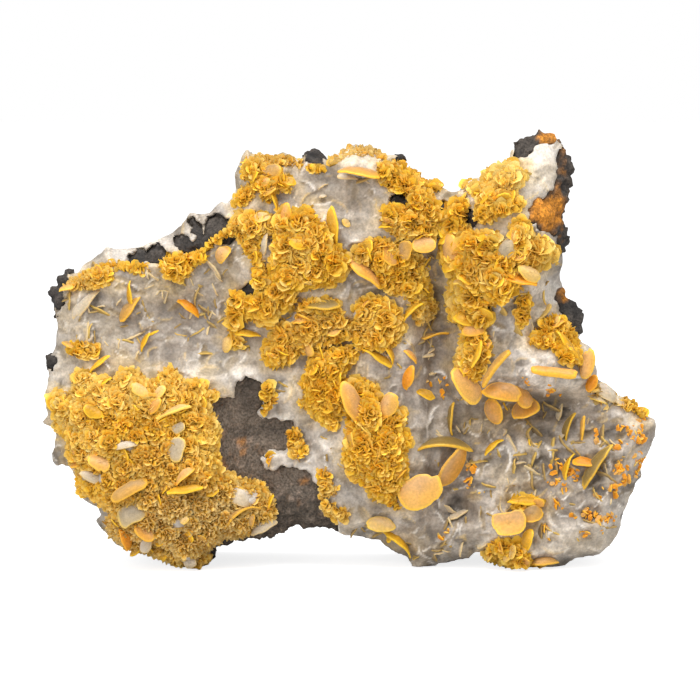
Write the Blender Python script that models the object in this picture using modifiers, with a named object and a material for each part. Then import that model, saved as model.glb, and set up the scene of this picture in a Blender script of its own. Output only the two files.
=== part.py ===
"""A rough hand specimen of wulfenite, standing on its broken lower edge.

A dark slab of ironstone (the matrix) carries a milky quartz crust over its front. Rosettes of thin yellow
wulfenite blades have grown together into mounds on the crust, and larger lens-shaped blades stand out singly.
Each is its own solid: the matrix, the crust, each mound of rosettes and each large blade.

X runs to the specimen's right, Z up, and the crystals face -Y. The origin is on the ground, under the middle
of the specimen. Shapes on the face are plotted as (column, row) on a square grid, rows counted downwards, so
that one grid step is the specimen's width over GRID_COLUMNS.
"""

import math
import random

import bmesh
import bpy
import numpy as np
from mathutils import Matrix, Vector, noise

# Driving dimensions, in metres.
SPECIMEN_WIDTH = 0.1236
BASE_DEPTH = 0.0170  # the matrix's back at the ground, behind the origin
TOP_DEPTH = 0.0095  # the matrix's back at its highest point
FRONT_DEPTH = 0.0083  # the crust's face in front of the origin, before its swells and hollows
CRUST_THICKNESS = 0.0032
FIT_GAP = 0.0003  # between neighbouring solids
CRUST_GAP, LEAST_GAP = 0.0005, 0.0001  # between the matrix and the crust
MOUND_GAP = 0.0008  # between the crust's true face, before it is simplified, and what grows on it
BLADE_THICKNESS = 0.0011

# The plotting grid of the face.
GRID_COLUMNS = 618
GRID_STEP = SPECIMEN_WIDTH / GRID_COLUMNS
CENTRE_COLUMN = 351
GROUND_ROW = 571

# How finely each kind of solid is built, and how many faces it is then reduced to.
MATRIX_CELL, MATRIX_FACES = 0.0019, 1100
MATRIX_REMOULD_CELL = 0.0012
CRUST_CELL, CRUST_FACES = 0.0016, 1600
MOUND_CELL = 0.0011
MOUND_FACES, MOUND_FACES_PER_M2 = 100, 1.2e6
BLADE_FACES = 70
FUSED_CELL = 0.00034
MOUND_ROOT = 0.0022  # how deep a mound's mass reaches behind the crust's face before it is fitted
PINCH = 5e-6  # points this close to each other touch
BLADE_SIDES = 10
FIN_SIDES = 6
FIN_LENGTHS = (0.0036, 0.0060)
FIN_THICKNESSES = (0.0008, 0.0011)
SPOT_TRIES = 600
SPOT_SPACING = 0.0022
SPOT_INSET = 0.0009
FIN_CLEARANCE = 0.0006

ROOM_DEPTH = 0.030
CRUST_ROOM_CELL = 0.0012
SLAB_DEPTH = 0.010  # thickness of the plain slab that each shape is moulded from

# The crust's shape.
CRUST_WRAP = 0.0085  # how deep it reaches round the matrix's edge
RIM_WIDTH = 0.0065  # over which the face rolls back to the specimen's edge
RIM_DROP = 0.0048
HOLE_SINK = 0.0070  # how far its face falls away where it is broken through
HOLE_EDGE = 0.0012  # the width of a hole's broken edge

# The matrix's shape.
BACK_ROUNDING, BACK_ROUNDING_WIDTH = 0.0042, 0.009  # its back edge is worn off, but not at the foot
FOOT_HEIGHT = 0.012
SIDE_TAPER = 0.035  # its back is this share narrower than its face
TOP_LEAN, LEAN_START = 0.05, 0.050  # above this height its back falls away as it rises
HOLE_SWELL = 0.0010  # how far it stands up into the crust's holes

# Lumps of rough surfaces: pairs of (height, size).
FACE_LUMPS = [(0.0008, 0.008), (0.0005, 0.0036)]
BACK_LUMPS = [(0.0030, 0.022), (0.0016, 0.009)]
SIDE_LUMPS = [(0.0016, 0.0075), (0.0006, 0.0075)]  # at mid depth, and at the face and the back
MOUND_LUMPS = [(0.0006, 0.0042), (0.0005, 0.0025)]
MOUND_EDGE = 0.0030  # over which a mound rounds down to the crust

# The matrix's outline: the broken rim of black and rusty ironstone.
MATRIX_OUTLINE = [
    (53, 300), (46, 297), (51, 291), (62, 280), (65, 273), (77, 275), (82, 266), (97, 256), (106, 257),
    (140, 252), (172, 240), (192, 222), (220, 212), (238, 190), (240, 166), (262, 160), (290, 163),
    (303, 156), (316, 154), (326, 163), (345, 158), (368, 154), (383, 154), (403, 156), (402, 164),
    (420, 184), (448, 195), (462, 194), (474, 190), (500, 172), (512, 152), (522, 140), (538, 133), (556, 134),
    (560, 145), (567, 150), (573, 165), (571, 183), (567, 208), (564, 220), (570, 238), (566, 250),
    (560, 270), (561, 290), (570, 303), (578, 306), (584, 321), (579, 340), (575, 352), (588, 368),
    (600, 388), (628, 406), (650, 424), (654, 440), (640, 462), (634, 482), (624, 500), (619, 530),
    (604, 550), (578, 562), (562, 580), (480, 582), (418, 580), (402, 560), (385, 550), (357, 541),
    (333, 533), (310, 531), (292, 528), (284, 534), (262, 541), (243, 542), (222, 549), (206, 556),
    (204, 579), (168, 579), (152, 558), (128, 550), (108, 536), (98, 532), (94, 522), (99, 516), (84, 498),
    (78, 476), (66, 462), (58, 452), (58, 434), (50, 424), (50, 402), (52, 385), (50, 371), (43, 368),
    (44, 358), (54, 347), (60, 330), (54, 316),
]

# The quartz crust's outline.
CRUST_OUTLINE = [
    (57, 330), (60, 318), (58, 300), (60, 288), (74, 280), (88, 270), (98, 258), (107, 247), (124, 250),
    (150, 243), (170, 234), (190, 213), (209, 214), (220, 203), (231, 198), (234, 184), (234, 172),
    (240, 158), (247, 150), (262, 154), (283, 153), (301, 160), (326, 162), (343, 151), (357, 145),
    (376, 151), (402, 162), (420, 180), (441, 187), (452, 193), (464, 184), (490, 177), (505, 161),
    (518, 160), (522, 152), (546, 144), (558, 142), (562, 152), (559, 178), (549, 193), (537, 199),
    (530, 208), (531, 221), (552, 229), (559, 246), (563, 262), (562, 284), (558, 300), (562, 312),
    (574, 326), (576, 340), (596, 356), (596, 372), (616, 392), (630, 400), (650, 419), (660, 428),
    (656, 448), (643, 472), (644, 480), (630, 500), (622, 530), (606, 555), (580, 564), (562, 578),
    (500, 578), (492, 563), (484, 558), (470, 566), (440, 570), (432, 576), (414, 576), (400, 559), (381, 546),
    (350, 540), (334, 534), (326, 520), (300, 500), (262, 500), (252, 538), (230, 542), (206, 556),
    (200, 576), (168, 576), (156, 563), (130, 557), (110, 545), (103, 528), (99, 512), (83, 503),
    (75, 488), (72, 471), (56, 469), (50, 462), (54, 440), (53, 430), (42, 426), (45, 414), (44, 396),
    (48, 370), (55, 348),
]

# Holes in the crust, where the matrix shows.
CRUST_HOLES = [
    [(206, 404), (214, 391), (223, 396), (233, 401), (236, 386), (246, 378), (257, 380), (263, 391),
     (261, 404), (256, 414), (263, 421), (276, 420), (288, 424), (294, 434), (291, 445), (282, 451),
     (268, 455), (262, 464), (267, 474), (280, 470), (306, 469), (315, 476), (318, 492), (324, 508),
     (334, 524), (336, 546), (300, 550), (240, 548), (236, 500), (222, 476), (206, 452), (204, 425)],
    [(206, 218), (216, 216), (228, 219), (237, 226), (236, 238), (226, 243), (216, 240), (208, 230)],
    [(174, 236), (184, 234), (194, 240), (210, 238), (212, 246), (198, 252), (184, 251), (178, 245)],
    [(128, 256), (140, 254), (148, 246), (160, 246), (168, 254), (164, 263), (146, 265), (132, 261)],
    [(240, 290), (256, 282), (261, 290), (256, 300), (243, 299)],
    [(437, 205), (447, 201), (453, 208), (448, 217), (438, 214)],
]

# Swells and hollows of the crust's face: (column, row, half width, half height, metres towards the viewer).
SWELLS = [
    (150, 455, 105, 92, 0.0052),  # the lower left mound
    (190, 520, 60, 40, 0.0015),
    (312, 258, 74, 70, 0.0030),  # the middle block
    (362, 164, 42, 18, 0.0034),  # the shelf under the top edge
    (405, 215, 46, 46, 0.0022),
    (505, 255, 52, 96, 0.0058),  # the right-hand ridge
    (548, 368, 58, 30, 0.0046),  # the ledge under the ridge
    (476, 365, 30, 36, 0.0040),
    (372, 445, 54, 66, 0.0038),  # the lower middle mound
    (590, 500, 60, 60, 0.0026),
    (500, 545, 70, 34, 0.0022),
    (437, 335, 24, 86, -0.0058),  # the gully between the middle block and the ridge
    (545, 414, 76, 27, -0.0044),  # the hollow under the ledge
    (470, 425, 40, 34, -0.0026),
    (185, 325, 74, 46, -0.0022),  # the panel left of the middle block
    (322, 190, 46, 24, -0.0026),
    (262, 440, 46, 66, -0.0024),  # around the bare matrix
    (448, 490, 34, 34, -0.0014),
    (552, 155, 40, 46, -0.0034),  # the right-hand horn
]

# Mounds of rosettes: name, outline, how far the mound rises from the crust (metres), how
# many thick blades stand on it.
MOUNDS = [
    ("rosettes_lower_left",
     [(47, 397), (60, 395), (68, 382), (78, 370), (96, 372), (114, 383), (130, 366), (146, 378), (166, 370),
      (180, 377), (196, 380), (210, 387), (214, 394), (208, 406), (216, 424), (213, 446), (219, 470),
      (236, 475), (258, 483), (270, 496), (276, 512), (250, 521), (248, 536), (222, 543), (205, 557),
      (196, 562), (180, 565), (152, 560), (124, 552), (110, 542), (106, 522), (110, 508), (88, 497),
      (77, 492), (75, 470), (67, 444), (55, 428), (50, 412)],
     0.0032, 22),
    ("rosettes_top_left",
     [(241, 158), (264, 158), (276, 160), (283, 174), (293, 181), (286, 190), (275, 190), (270, 202),
      (258, 194), (248, 202), (236, 206), (238, 194), (250, 184), (243, 176)],
     0.0020, 4),
    ("rosettes_middle_left",
     [(238, 216), (250, 211), (268, 214), (274, 226), (266, 236), (260, 236), (259, 252), (266, 268),
      (264, 288), (254, 288), (252, 262), (243, 244), (226, 250), (208, 250), (222, 232), (236, 233)],
     0.0021, 4),
    ("rosettes_middle",
     [(280, 222), (294, 216), (306, 209), (318, 218), (330, 241), (348, 258), (343, 274), (330, 285),
      (302, 283), (292, 290), (297, 299), (281, 309), (272, 328), (250, 318), (238, 314), (236, 332),
      (246, 350), (232, 342), (228, 322), (231, 300), (246, 298), (262, 294), (273, 282), (276, 262)],
     0.0030, 10),
    ("rosettes_middle_low",
     [(266, 340), (284, 322), (304, 303), (320, 297), (338, 300), (341, 314), (350, 322), (348, 334),
      (330, 341), (312, 349), (292, 352), (284, 364), (272, 364), (262, 356)],
     0.0024, 6),
    ("rosettes_middle_right",
     [(356, 306), (364, 300), (384, 299), (397, 312), (405, 328), (398, 344), (380, 347), (362, 350),
      (356, 338)],
     0.0027, 5),
    ("rosettes_column",
     [(312, 361), (330, 352), (350, 350), (355, 356), (350, 366), (338, 374), (338, 386), (338, 402),
      (334, 424), (326, 424), (306, 414), (299, 404), (304, 392), (300, 378)],
     0.0026, 5),
    ("rosettes_lower_middle",
     [(346, 380), (362, 376), (378, 390), (394, 401), (402, 414), (398, 434), (410, 446), (408, 466),
      (400, 488), (394, 505), (372, 486), (352, 476), (344, 452), (350, 430), (346, 408)],
     0.0030, 8),
    ("rosettes_top_right",
     [(378, 164), (400, 163), (420, 182), (440, 185), (444, 192), (424, 197), (434, 212), (438, 230),
      (430, 238), (398, 236), (384, 224), (383, 204), (398, 206), (410, 197), (388, 190), (379, 180)],
     0.0026, 6),
    ("rosettes_gully",
     [(355, 250), (363, 241), (382, 243), (400, 246), (414, 252), (426, 276), (430, 300), (424, 316),
      (412, 312), (404, 290), (390, 292), (378, 282), (372, 267)],
     0.0026, 5),
    ("rosettes_horn",
     [(464, 187), (484, 181), (498, 166), (514, 163), (526, 174), (510, 188), (521, 202), (496, 216),
      (474, 218), (472, 204)],
     0.0024, 5),
    ("rosettes_ridge",
     [(442, 224), (452, 206), (464, 202), (466, 222), (480, 228), (497, 232), (500, 246), (514, 236),
      (540, 240), (556, 250), (546, 262), (520, 264), (510, 270), (524, 278), (508, 294), (488, 306),
      (486, 318), (466, 326), (452, 314), (452, 286), (457, 270), (446, 252)],
     0.0032, 12),
    ("rosettes_ridge_foot",
     [(464, 334), (482, 332), (485, 356), (480, 374), (470, 383), (458, 372), (454, 352)],
     0.0024, 3),
    ("rosettes_right_edge",
     [(530, 334), (550, 318), (570, 326), (574, 342), (578, 352), (562, 358), (548, 350)],
     0.0026, 4),
    ("rosettes_foot",
     [(492, 540), (508, 538), (522, 540), (524, 558), (532, 566), (508, 568), (486, 556)],
     0.0022, 3),
    ("rosettes_panel_left",
     [(64, 286), (88, 272), (110, 266), (115, 273), (110, 284), (92, 287), (72, 291)],
     0.0020, 3),
    ("rosettes_panel_top",
     [(161, 266), (170, 257), (192, 257), (206, 253), (205, 260), (192, 266), (190, 275), (178, 280),
      (166, 277)],
     0.0021, 3),
]

# Large blades: the solid that each belongs to (its own, or the crystals it has grown together with), column,
# row, length and width in grid steps, direction of the long axis in the face (degrees anticlockwise from +X),
# how far the lower edge swings towards the viewer (degrees), how far its middle stands off the crust (metres).
BLADES = [
    ("blade_top_shelf", 360, 171, 44, 24, -8, 72, 0.0014),
    ("rosettes_top_left", 271, 170, 22, 18, 20, 25, 0.0016),
    ("rosettes_middle", 286, 214, 26, 14, 84, 25, 0.0020),
    ("blade_spindle", 337, 224, 42, 17, 98, 50, 0.0010),
    ("rosettes_gully", 364, 270, 46, 20, -38, 52, 0.0016),
    ("rosettes_gully", 390, 252, 25, 18, -50, 22, 0.0030),
    ("rosettes_top_right", 419, 232, 28, 19, 4, 18, 0.0040),
    ("rosettes_ridge", 452, 246, 36, 24, 108, 22, 0.0036),
    ("rosettes_ridge", 528, 270, 27, 16, -34, 28, 0.0032),
    ("rosettes_ridge", 518, 276, 38, 16, -10, 58, 0.0022),
    ("rosettes_ridge", 474, 324, 24, 17, 4, 28, 0.0020),
    ("rosettes_ridge_foot", 465, 384, 40, 27, -62, 18, 0.0034),
    ("blade_feather", 497, 362, 44, 15, 53, 55, 0.0020),
    ("blade_ledge_lens", 502, 389, 42, 24, -6, 38, 0.0042),
    ("blade_ledge_petal", 524, 411, 31, 25, 22, 30, 0.0042),
    ("blade_ledge_tongue", 494, 413, 31, 20, 104, 20, 0.0044),
    ("blade_ledge_bar", 551, 370, 54, 20, -7, 48, 0.0034),
    ("blade_right_edge", 589, 368, 36, 20, 78, 20, 0.0032),
    ("hollow_blades", 444, 443, 60, 22, 6, 70, 0.0020),
    ("hollow_blades", 455, 465, 48, 28, 58, 30, 0.0034),
    ("blade_broad_plate", 425, 494, 44, 36, 30, 12, 0.0044),
    ("blade_pale", 381, 525, 30, 17, -8, 25, 0.0024),
    ("bottom_blades", 508, 518, 38, 32, 4, 14, 0.0040),
    ("bottom_blades", 533, 513, 26, 20, 20, 25, 0.0024),
    ("rosettes_lower_left", 127, 487, 44, 22, 26, 30, 0.0034),
    ("blade_panel_lens", 190, 308, 30, 15, -38, 52, 0.0012),
    ("blade_panel_wing", 129, 308, 40, 18, 54, 40, 0.0012),
    ("blade_column_petal", 357, 364, 20, 14, 20, 40, 0.0016),
    ("rosettes_lower_middle", 352, 400, 44, 22, -66, 24, 0.0034),
    ("rosettes_lower_middle", 389, 402, 26, 20, 60, 20, 0.0030),
    ("blade_gully_petal", 409, 376, 26, 15, 78, 30, 0.0024),
    ("blade_right_corner", 606, 392, 34, 14, -32, 35, 0.0016),
]

COLOURS = {
    "matrix": ((0.075, 0.058, 0.047), 0.85),
    "crust": ((0.62, 0.58, 0.53), 0.38),
    "rosettes": ((0.72, 0.46, 0.06), 0.45),
    "blade": ((0.80, 0.42, 0.10), 0.32),
}


def on_face(points):
    """Grid points as (x, z) in metres."""
    plotted = np.array(points, float)
    return np.stack([(plotted[:, 0] - CENTRE_COLUMN), (GROUND_ROW - plotted[:, 1])], axis=1) * GRID_STEP


def inset(xz, outline):
    """How far each (x, z) is inside the outline, in metres, negative outside."""
    corners = on_face(outline)
    following = np.roll(corners, -1, axis=0)
    nearest = np.full(len(xz), np.inf)
    crossings = np.zeros(len(xz), int)
    for start, end in zip(corners, following):
        run = end - start
        along = np.clip(((xz - start) @ run) / (run @ run), 0, 1)
        nearest = np.minimum(nearest, np.linalg.norm(xz - start - along[:, None] * run, axis=1))
        spans = (start[1] > xz[:, 1]) != (end[1] > xz[:, 1])
        if run[1] != 0:
            crossings += spans & (xz[:, 0] < start[0] + (xz[:, 1] - start[1]) * run[0] / run[1])
    return np.where(crossings % 2 == 1, nearest, -nearest)


def smooth_step(value):
    value = np.clip(value, 0, 1)
    return value * value * (3 - 2 * value)


def flat_points(xz):
    """The (x, z) places as points of the plane y = 0."""
    return np.column_stack([xz[:, 0], np.zeros(len(xz)), xz[:, 1]])


def roughness(points, size, seed):
    """Smooth noise from about -1 to 1, with lumps of the given size."""
    shift = Vector((seed * 17.3, seed * 5.1, seed * 9.7))
    return np.array([noise.noise(Vector(point) / size + shift) for point in points]) * 1.6


def face_relief(xz):
    """How far the crust's face stands in front of the origin at each (x, z)."""
    relief = np.full(len(xz), FRONT_DEPTH)
    for column, row, half_width, half_height, rise in SWELLS:
        centre = on_face([(column, row)])[0]
        reach = np.array([half_width, half_height]) * GRID_STEP
        away = np.linalg.norm((xz - centre) / reach, axis=1)
        relief += rise * smooth_step(1.15 - away * 0.85)
    rim = 1 - np.clip(inset(xz, CRUST_OUTLINE) / RIM_WIDTH, 0, 1)
    relief -= RIM_DROP * rim ** 2.2
    for seed, (lump, size) in enumerate(FACE_LUMPS, start=1):
        relief += lump * roughness(flat_points(xz), size, seed)
    return relief


def hole_share(xz):
    """1 where the crust is broken away over the matrix, 0 where it is whole."""
    share = np.zeros(len(xz))
    for outline in CRUST_HOLES:
        share = np.maximum(share, smooth_step(inset(xz, outline) / HOLE_EDGE + 0.5))
    return share


def new_object(name, mesh, kind):
    obj = bpy.data.objects.new(name, mesh)
    specimen.objects.link(obj)
    mesh.materials.clear()
    mesh.materials.append(bpy.data.materials[kind])
    return obj


def plain_slab(name, outline, cell, kind):
    """A slab of even squares under the outline, from y = 0 at its front to SLAB_DEPTH."""
    curve = bpy.data.curves.new(name, "CURVE")
    curve.dimensions = "2D"
    curve.fill_mode = "BOTH"
    curve.extrude = SLAB_DEPTH / 2
    corners = on_face(outline)
    spline = curve.splines.new("POLY")
    spline.points.add(len(corners) - 1)
    for point, (x, z) in zip(spline.points, corners):
        point.co = (x, z, 0, 1)
    spline.use_cyclic_u = True
    drawn = bpy.data.objects.new(name + "_drawn", curve)
    specimen.objects.link(drawn)
    drawn.rotation_euler.x = math.pi / 2
    drawn.location.y = SLAB_DEPTH / 2
    bpy.context.view_layer.update()
    mesh = bpy.data.meshes.new_from_object(drawn.evaluated_get(bpy.context.evaluated_depsgraph_get()))
    mesh.transform(drawn.matrix_world)
    bpy.data.objects.remove(drawn)
    weld(mesh)
    slab = new_object(name, mesh, kind)
    remould(slab, cell)
    return slab


def weld(mesh):
    welder = bmesh.new()
    welder.from_mesh(mesh)
    bmesh.ops.remove_doubles(welder, verts=welder.verts, dist=1e-6)
    bmesh.ops.recalc_face_normals(welder, faces=welder.faces)
    welder.to_mesh(mesh)
    welder.free()


def settle(obj):
    """Makes the object's modifiers part of its mesh."""
    bpy.context.view_layer.update()
    kind = obj.data.materials[0].name
    mesh = bpy.data.meshes.new_from_object(obj.evaluated_get(bpy.context.evaluated_depsgraph_get()))
    obj.modifiers.clear()
    obj.data = mesh
    mesh.materials.clear()
    mesh.materials.append(bpy.data.materials[kind])


def points_of(obj):
    flat = np.empty(len(obj.data.vertices) * 3, np.float32)
    obj.data.vertices.foreach_get("co", flat)
    return flat.reshape(-1, 3).astype(float)


def move_points(obj, points):
    obj.data.vertices.foreach_set("co", points.astype(np.float32).ravel())
    obj.data.update()


def reduce_faces(obj, faces):
    """Simplifies a moulded solid to flat facets, as broken rock has."""
    triangles = sum(len(polygon.vertices) - 2 for polygon in obj.data.polygons)
    simpler = obj.modifiers.new("facets", "DECIMATE")
    simpler.ratio = min(1, faces / triangles)
    settle(obj)


def remould(obj, cell):
    """Moulds the solid in even squares, which makes overlapping crystals one and loses slivers."""
    squares = obj.modifiers.new("squares", "REMESH")
    squares.mode = "VOXEL"
    squares.voxel_size = cell
    settle(obj)


def normals_of(obj):
    normals = np.empty(len(obj.data.vertices) * 3, np.float32)
    obj.data.vertices.foreach_get("normal", normals)
    return normals.reshape(-1, 3).astype(float)


def open_pinches(obj):
    """Draws the surface in a little wherever two of its points lie on each other."""
    points = points_of(obj)
    _, place, count = np.unique(np.round(points / PINCH).astype(int), axis=0,
                                return_inverse=True, return_counts=True)
    pinched = count[place.reshape(-1)] > 1
    points[pinched] -= normals_of(obj)[pinched] * PINCH * 10
    move_points(obj, points)


def stand_flat(obj):
    """Cuts the solid off level with the ground."""
    cut(obj, ground)


def cut(obj, cutter, operation="DIFFERENCE"):
    boolean = obj.modifiers.new("cut", "BOOLEAN")
    boolean.object = cutter
    boolean.operation = operation
    boolean.solver = "EXACT"
    settle(obj)


def keep_largest(obj):
    """Drops chips that a cut has left loose."""
    chips = bmesh.new()
    chips.from_mesh(obj.data)
    unseen = set(chips.faces)
    bodies = []
    while unseen:
        reached = [unseen.pop()]
        body = set(reached)
        while reached:
            for edge in reached.pop().edges:
                for face in edge.link_faces:
                    if face in unseen:
                        unseen.discard(face)
                        body.add(face)
                        reached.append(face)
        bodies.append(body)
    largest = max(bodies, key=len)
    loose = [face for body in bodies if body is not largest for face in body]
    bmesh.ops.delete(chips, geom=loose, context="FACES")
    chips.to_mesh(obj.data)
    chips.free()


def grown(obj, gap=FIT_GAP * 1.25):
    """A cutter: the solid with its surface moved out by the gap."""
    swollen = bpy.data.objects.new(obj.name + "_grown", obj.data.copy())
    cutters.objects.link(swollen)
    move_points(swollen, points_of(obj) + normals_of(obj) * gap)
    swollen.hide_render = True
    return swollen


def boxes_meet(first, second):
    a, b = points_of(first), points_of(second)
    return bool((a.min(0) <= b.max(0)).all() and (b.min(0) <= a.max(0)).all())


def clear_of(obj, others):
    """Cuts the solid back from every grown neighbour that it reaches."""
    for other in others:
        if boxes_meet(obj, other):
            cut(obj, other)
            if not obj.data.polygons:
                return
    keep_largest(obj)


def build_matrix():
    """The ironstone slab: its face lies under the crust, and its back leans forward as it rises."""
    matrix = plain_slab("matrix", MATRIX_OUTLINE, MATRIX_CELL, "matrix")
    points = points_of(matrix)
    through = np.clip(points[:, 1] / SLAB_DEPTH, 0, 1)
    xz = points[:, [0, 2]]
    height = xz[:, 1].max()
    back = BASE_DEPTH + (TOP_DEPTH - BASE_DEPTH) * xz[:, 1] / height
    rim = 1 - np.clip(inset(xz, MATRIX_OUTLINE) / BACK_ROUNDING_WIDTH, 0, 1)
    back -= BACK_ROUNDING * rim ** 2 * (xz[:, 1] > FOOT_HEIGHT)
    for seed, (lump, size) in enumerate(BACK_LUMPS, start=3):
        back += lump * roughness(flat_points(xz), size, seed)
    front = face_relief(xz) - CRUST_THICKNESS + HOLE_SWELL * hole_share(xz)
    points[:, 1] = -front + (front + back) * through
    (most, size), (least, _) = SIDE_LUMPS
    lumps = least + (most - least) * through * (1 - through) * 4
    points[:, 0] += lumps * roughness(points, size, 5) - SIDE_TAPER * through * xz[:, 0]
    points[:, 2] += lumps * roughness(points, size, 6) * smooth_step(2 * xz[:, 1] / FOOT_HEIGHT)
    points[:, 2] -= TOP_LEAN * through * np.maximum(xz[:, 1] - LEAN_START, 0)
    move_points(matrix, points)
    remould(matrix, MATRIX_REMOULD_CELL)
    reduce_faces(matrix, MATRIX_FACES)
    stand_flat(matrix)
    return matrix


def build_crust(neighbours):
    """The quartz crust: a sheet over the matrix that wraps its edge and opens over its bare patches."""
    crust = plain_slab("quartz_crust", CRUST_OUTLINE, CRUST_CELL, "crust")
    points = points_of(crust)
    through = np.clip(points[:, 1] / SLAB_DEPTH, 0, 1)
    xz = points[:, [0, 2]]
    front = face_relief(xz) - HOLE_SINK * hole_share(xz)
    points[:, 1] = -front + CRUST_WRAP * through
    move_points(crust, points)
    reduce_faces(crust, CRUST_FACES)
    stand_flat(crust)
    clear_of(crust, neighbours)
    return crust


def disc(sides, length, width, thickness):
    """A lens-like plate in the XZ plane: an oval whose rim is thinner than its middle."""
    plate = bmesh.new()
    for share, side in ((1.0, 0.0), (0.74, 0.5), (0.74, -0.5)):
        bmesh.ops.create_circle(plate, segments=sides, radius=share,
                                matrix=Matrix.Translation((0, 0, side)))
    plate.verts.ensure_lookup_table()
    rings = [plate.verts[start * sides:(start + 1) * sides] for start in range(3)]
    for near, far in ((rings[0], rings[1]), (rings[2], rings[0])):
        for i in range(sides):
            j = (i + 1) % sides
            plate.faces.new((near[i], near[j], far[j], far[i]))
    plate.faces.new(rings[1])
    plate.faces.new(reversed(rings[2]))
    scale = Matrix.Diagonal((length / 2, width / 2, thickness, 1))
    plate.transform(Matrix.Rotation(math.pi / 2, 4, "X") @ scale)
    bmesh.ops.recalc_face_normals(plate, faces=plate.faces)
    return plate


def turned(direction, swing):
    """Turns a plate that faces -Y: its lower edge swings towards the viewer, then its long axis turns."""
    return Matrix.Rotation(-math.radians(direction), 4, "Y") @ Matrix.Rotation(-math.radians(swing), 4, "X")


def spread_spots(name, outline, count):
    """Up to this many (x, z) inside the outline, no two of them close together."""
    draw = random.Random(name)
    corners = on_face(outline)
    low, high = corners.min(0), corners.max(0)
    spots = []
    for _ in range(SPOT_TRIES):
        spot = np.array([draw.uniform(low[0], high[0]), draw.uniform(low[1], high[1])])
        apart = all(np.linalg.norm(spot - other) > SPOT_SPACING for other in spots)
        if len(spots) < count and apart and inset(spot[None], outline)[0] > SPOT_INSET:
            spots.append(spot)
    return spots


def room_for_fin(name, outline, spot):
    """How long a fin can be at this spot without touching a neighbour's crystals."""
    room = FIN_LENGTHS[1]
    for other, other_outline, _, _ in MOUNDS:
        if other != name:
            room = min(room, 2 * (-inset(spot[None], other_outline)[0] - FIN_CLEARANCE))
    for owner, column, row, length, _, _, _, _ in BLADES:
        if owner != name:
            away = np.linalg.norm(spot - on_face([(column, row)])[0])
            room = min(room, 2 * (away - length * GRID_STEP / 2 - FIN_CLEARANCE))
    return max(room, 2 * inset(spot[None], outline)[0])


def mesh_of(plate, name):
    mesh = bpy.data.meshes.new(name)
    plate.to_mesh(mesh)
    plate.free()
    return mesh


def rosette_fin(draw, spot, rise, room):
    """One flat blade of a rosette, standing out of the mound at this spot."""
    length = min(draw.uniform(*FIN_LENGTHS), room)
    fin = disc(FIN_SIDES, length, length * draw.uniform(0.7, 0.95), draw.uniform(*FIN_THICKNESSES))
    depth = face_relief(spot[None])[0] + rise * 0.9
    fin.transform(Matrix.Translation((spot[0], -depth, spot[1]))
                  @ turned(draw.uniform(0, 180), draw.uniform(30, 80)))
    return mesh_of(fin, "fin")


def large_blade(column, row, length, width, direction, swing, out):
    """A large crystal: a lens-shaped plate that stands off the crust."""
    plate = disc(BLADE_SIDES, length * GRID_STEP, width * GRID_STEP, BLADE_THICKNESS)
    x, z = on_face([(column, row)])[0]
    depth = face_relief(np.array([[x, z]]))[0] + out
    plate.transform(Matrix.Translation((x, -depth, z)) @ turned(direction, swing))
    return mesh_of(plate, "blade")


def fuse(obj, crystals, neighbours, faces):
    """Grows crystals onto a solid, makes them one, and fits it to what is behind it."""
    both = bmesh.new()
    both.from_mesh(obj.data)
    for crystal in crystals:
        both.from_mesh(crystal)
    both.to_mesh(obj.data)
    both.free()
    remould(obj, FUSED_CELL)
    clear_of(obj, neighbours)
    remould(obj, FUSED_CELL)
    reduce_faces(obj, faces)
    open_pinches(obj)
    if points_of(obj)[:, 2].min() < 0:
        stand_flat(obj)
    keep_largest(obj)


def mound_body(name, outline, rise):
    """The lumpy mass that a mound's rosettes make where they have grown together."""
    mound = plain_slab(name, outline, MOUND_CELL, "rosettes")
    points = points_of(mound)
    through = np.clip(points[:, 1] / SLAB_DEPTH, 0, 1)
    xz = points[:, [0, 2]]
    edge = np.clip(inset(xz, outline) / MOUND_EDGE, 0, 1)
    (broad, broad_size), (fine, fine_size) = MOUND_LUMPS
    lumps = broad * roughness(flat_points(xz), broad_size, 7)
    lumps += fine * np.abs(roughness(flat_points(xz), fine_size, 8))
    front = face_relief(xz) + rise * np.sqrt(1 - (1 - edge) ** 2) + lumps * edge
    points[:, 1] = -front + (rise + MOUND_ROOT) * through
    move_points(mound, points)
    return mound


def room_cutter(name, outline, cell, rise, gap):
    """The room that a shape on the face takes, with the gap round it, down to behind the specimen."""
    room = plain_slab(name + "_room", outline, cell, "rosettes")
    points = points_of(room)
    through = np.clip(points[:, 1] / SLAB_DEPTH, 0, 1)
    edge = np.clip(inset(points[:, [0, 2]], outline) / MOUND_EDGE, 0, 1)
    points += normals_of(room) * [gap, 0, gap]
    xz = points[:, [0, 2]]
    front = face_relief(xz) + rise * np.sqrt(1 - (1 - edge) ** 2) + gap
    points[:, 1] = -front + ROOM_DEPTH * through
    move_points(room, points)
    specimen.objects.unlink(room)
    cutters.objects.link(room)
    room.hide_render = True
    return room


def build_mound(name, outline, rise, fins, neighbours):
    """Rosettes grown together: the mound, its flat blades and its large blades, fused in one solid."""
    mound = mound_body(name, outline, rise)
    draw = random.Random(name + " fins")
    spots = spread_spots(name, outline, fins)
    crystals = [rosette_fin(draw, spot, rise, room_for_fin(name, outline, spot)) for spot in spots]
    crystals += [large_blade(*blade) for owner, *blade in BLADES if owner == name]
    corners = on_face(outline)
    following = np.roll(corners, -1, axis=0)
    area = abs((corners[:, 0] * following[:, 1] - corners[:, 1] * following[:, 0]).sum()) / 2
    fuse(mound, crystals, neighbours, MOUND_FACES + int(area * MOUND_FACES_PER_M2))
    return mound


def build_blades(name, neighbours):
    """Large blades that stand on the crust: one, or a few that have grown through each other."""
    first, *others = [large_blade(*blade) for owner, *blade in BLADES if owner == name]
    crystals = new_object(name, first, "blade")
    fuse(crystals, others, neighbours, BLADE_FACES * (1 + len(others)))
    return crystals


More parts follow.
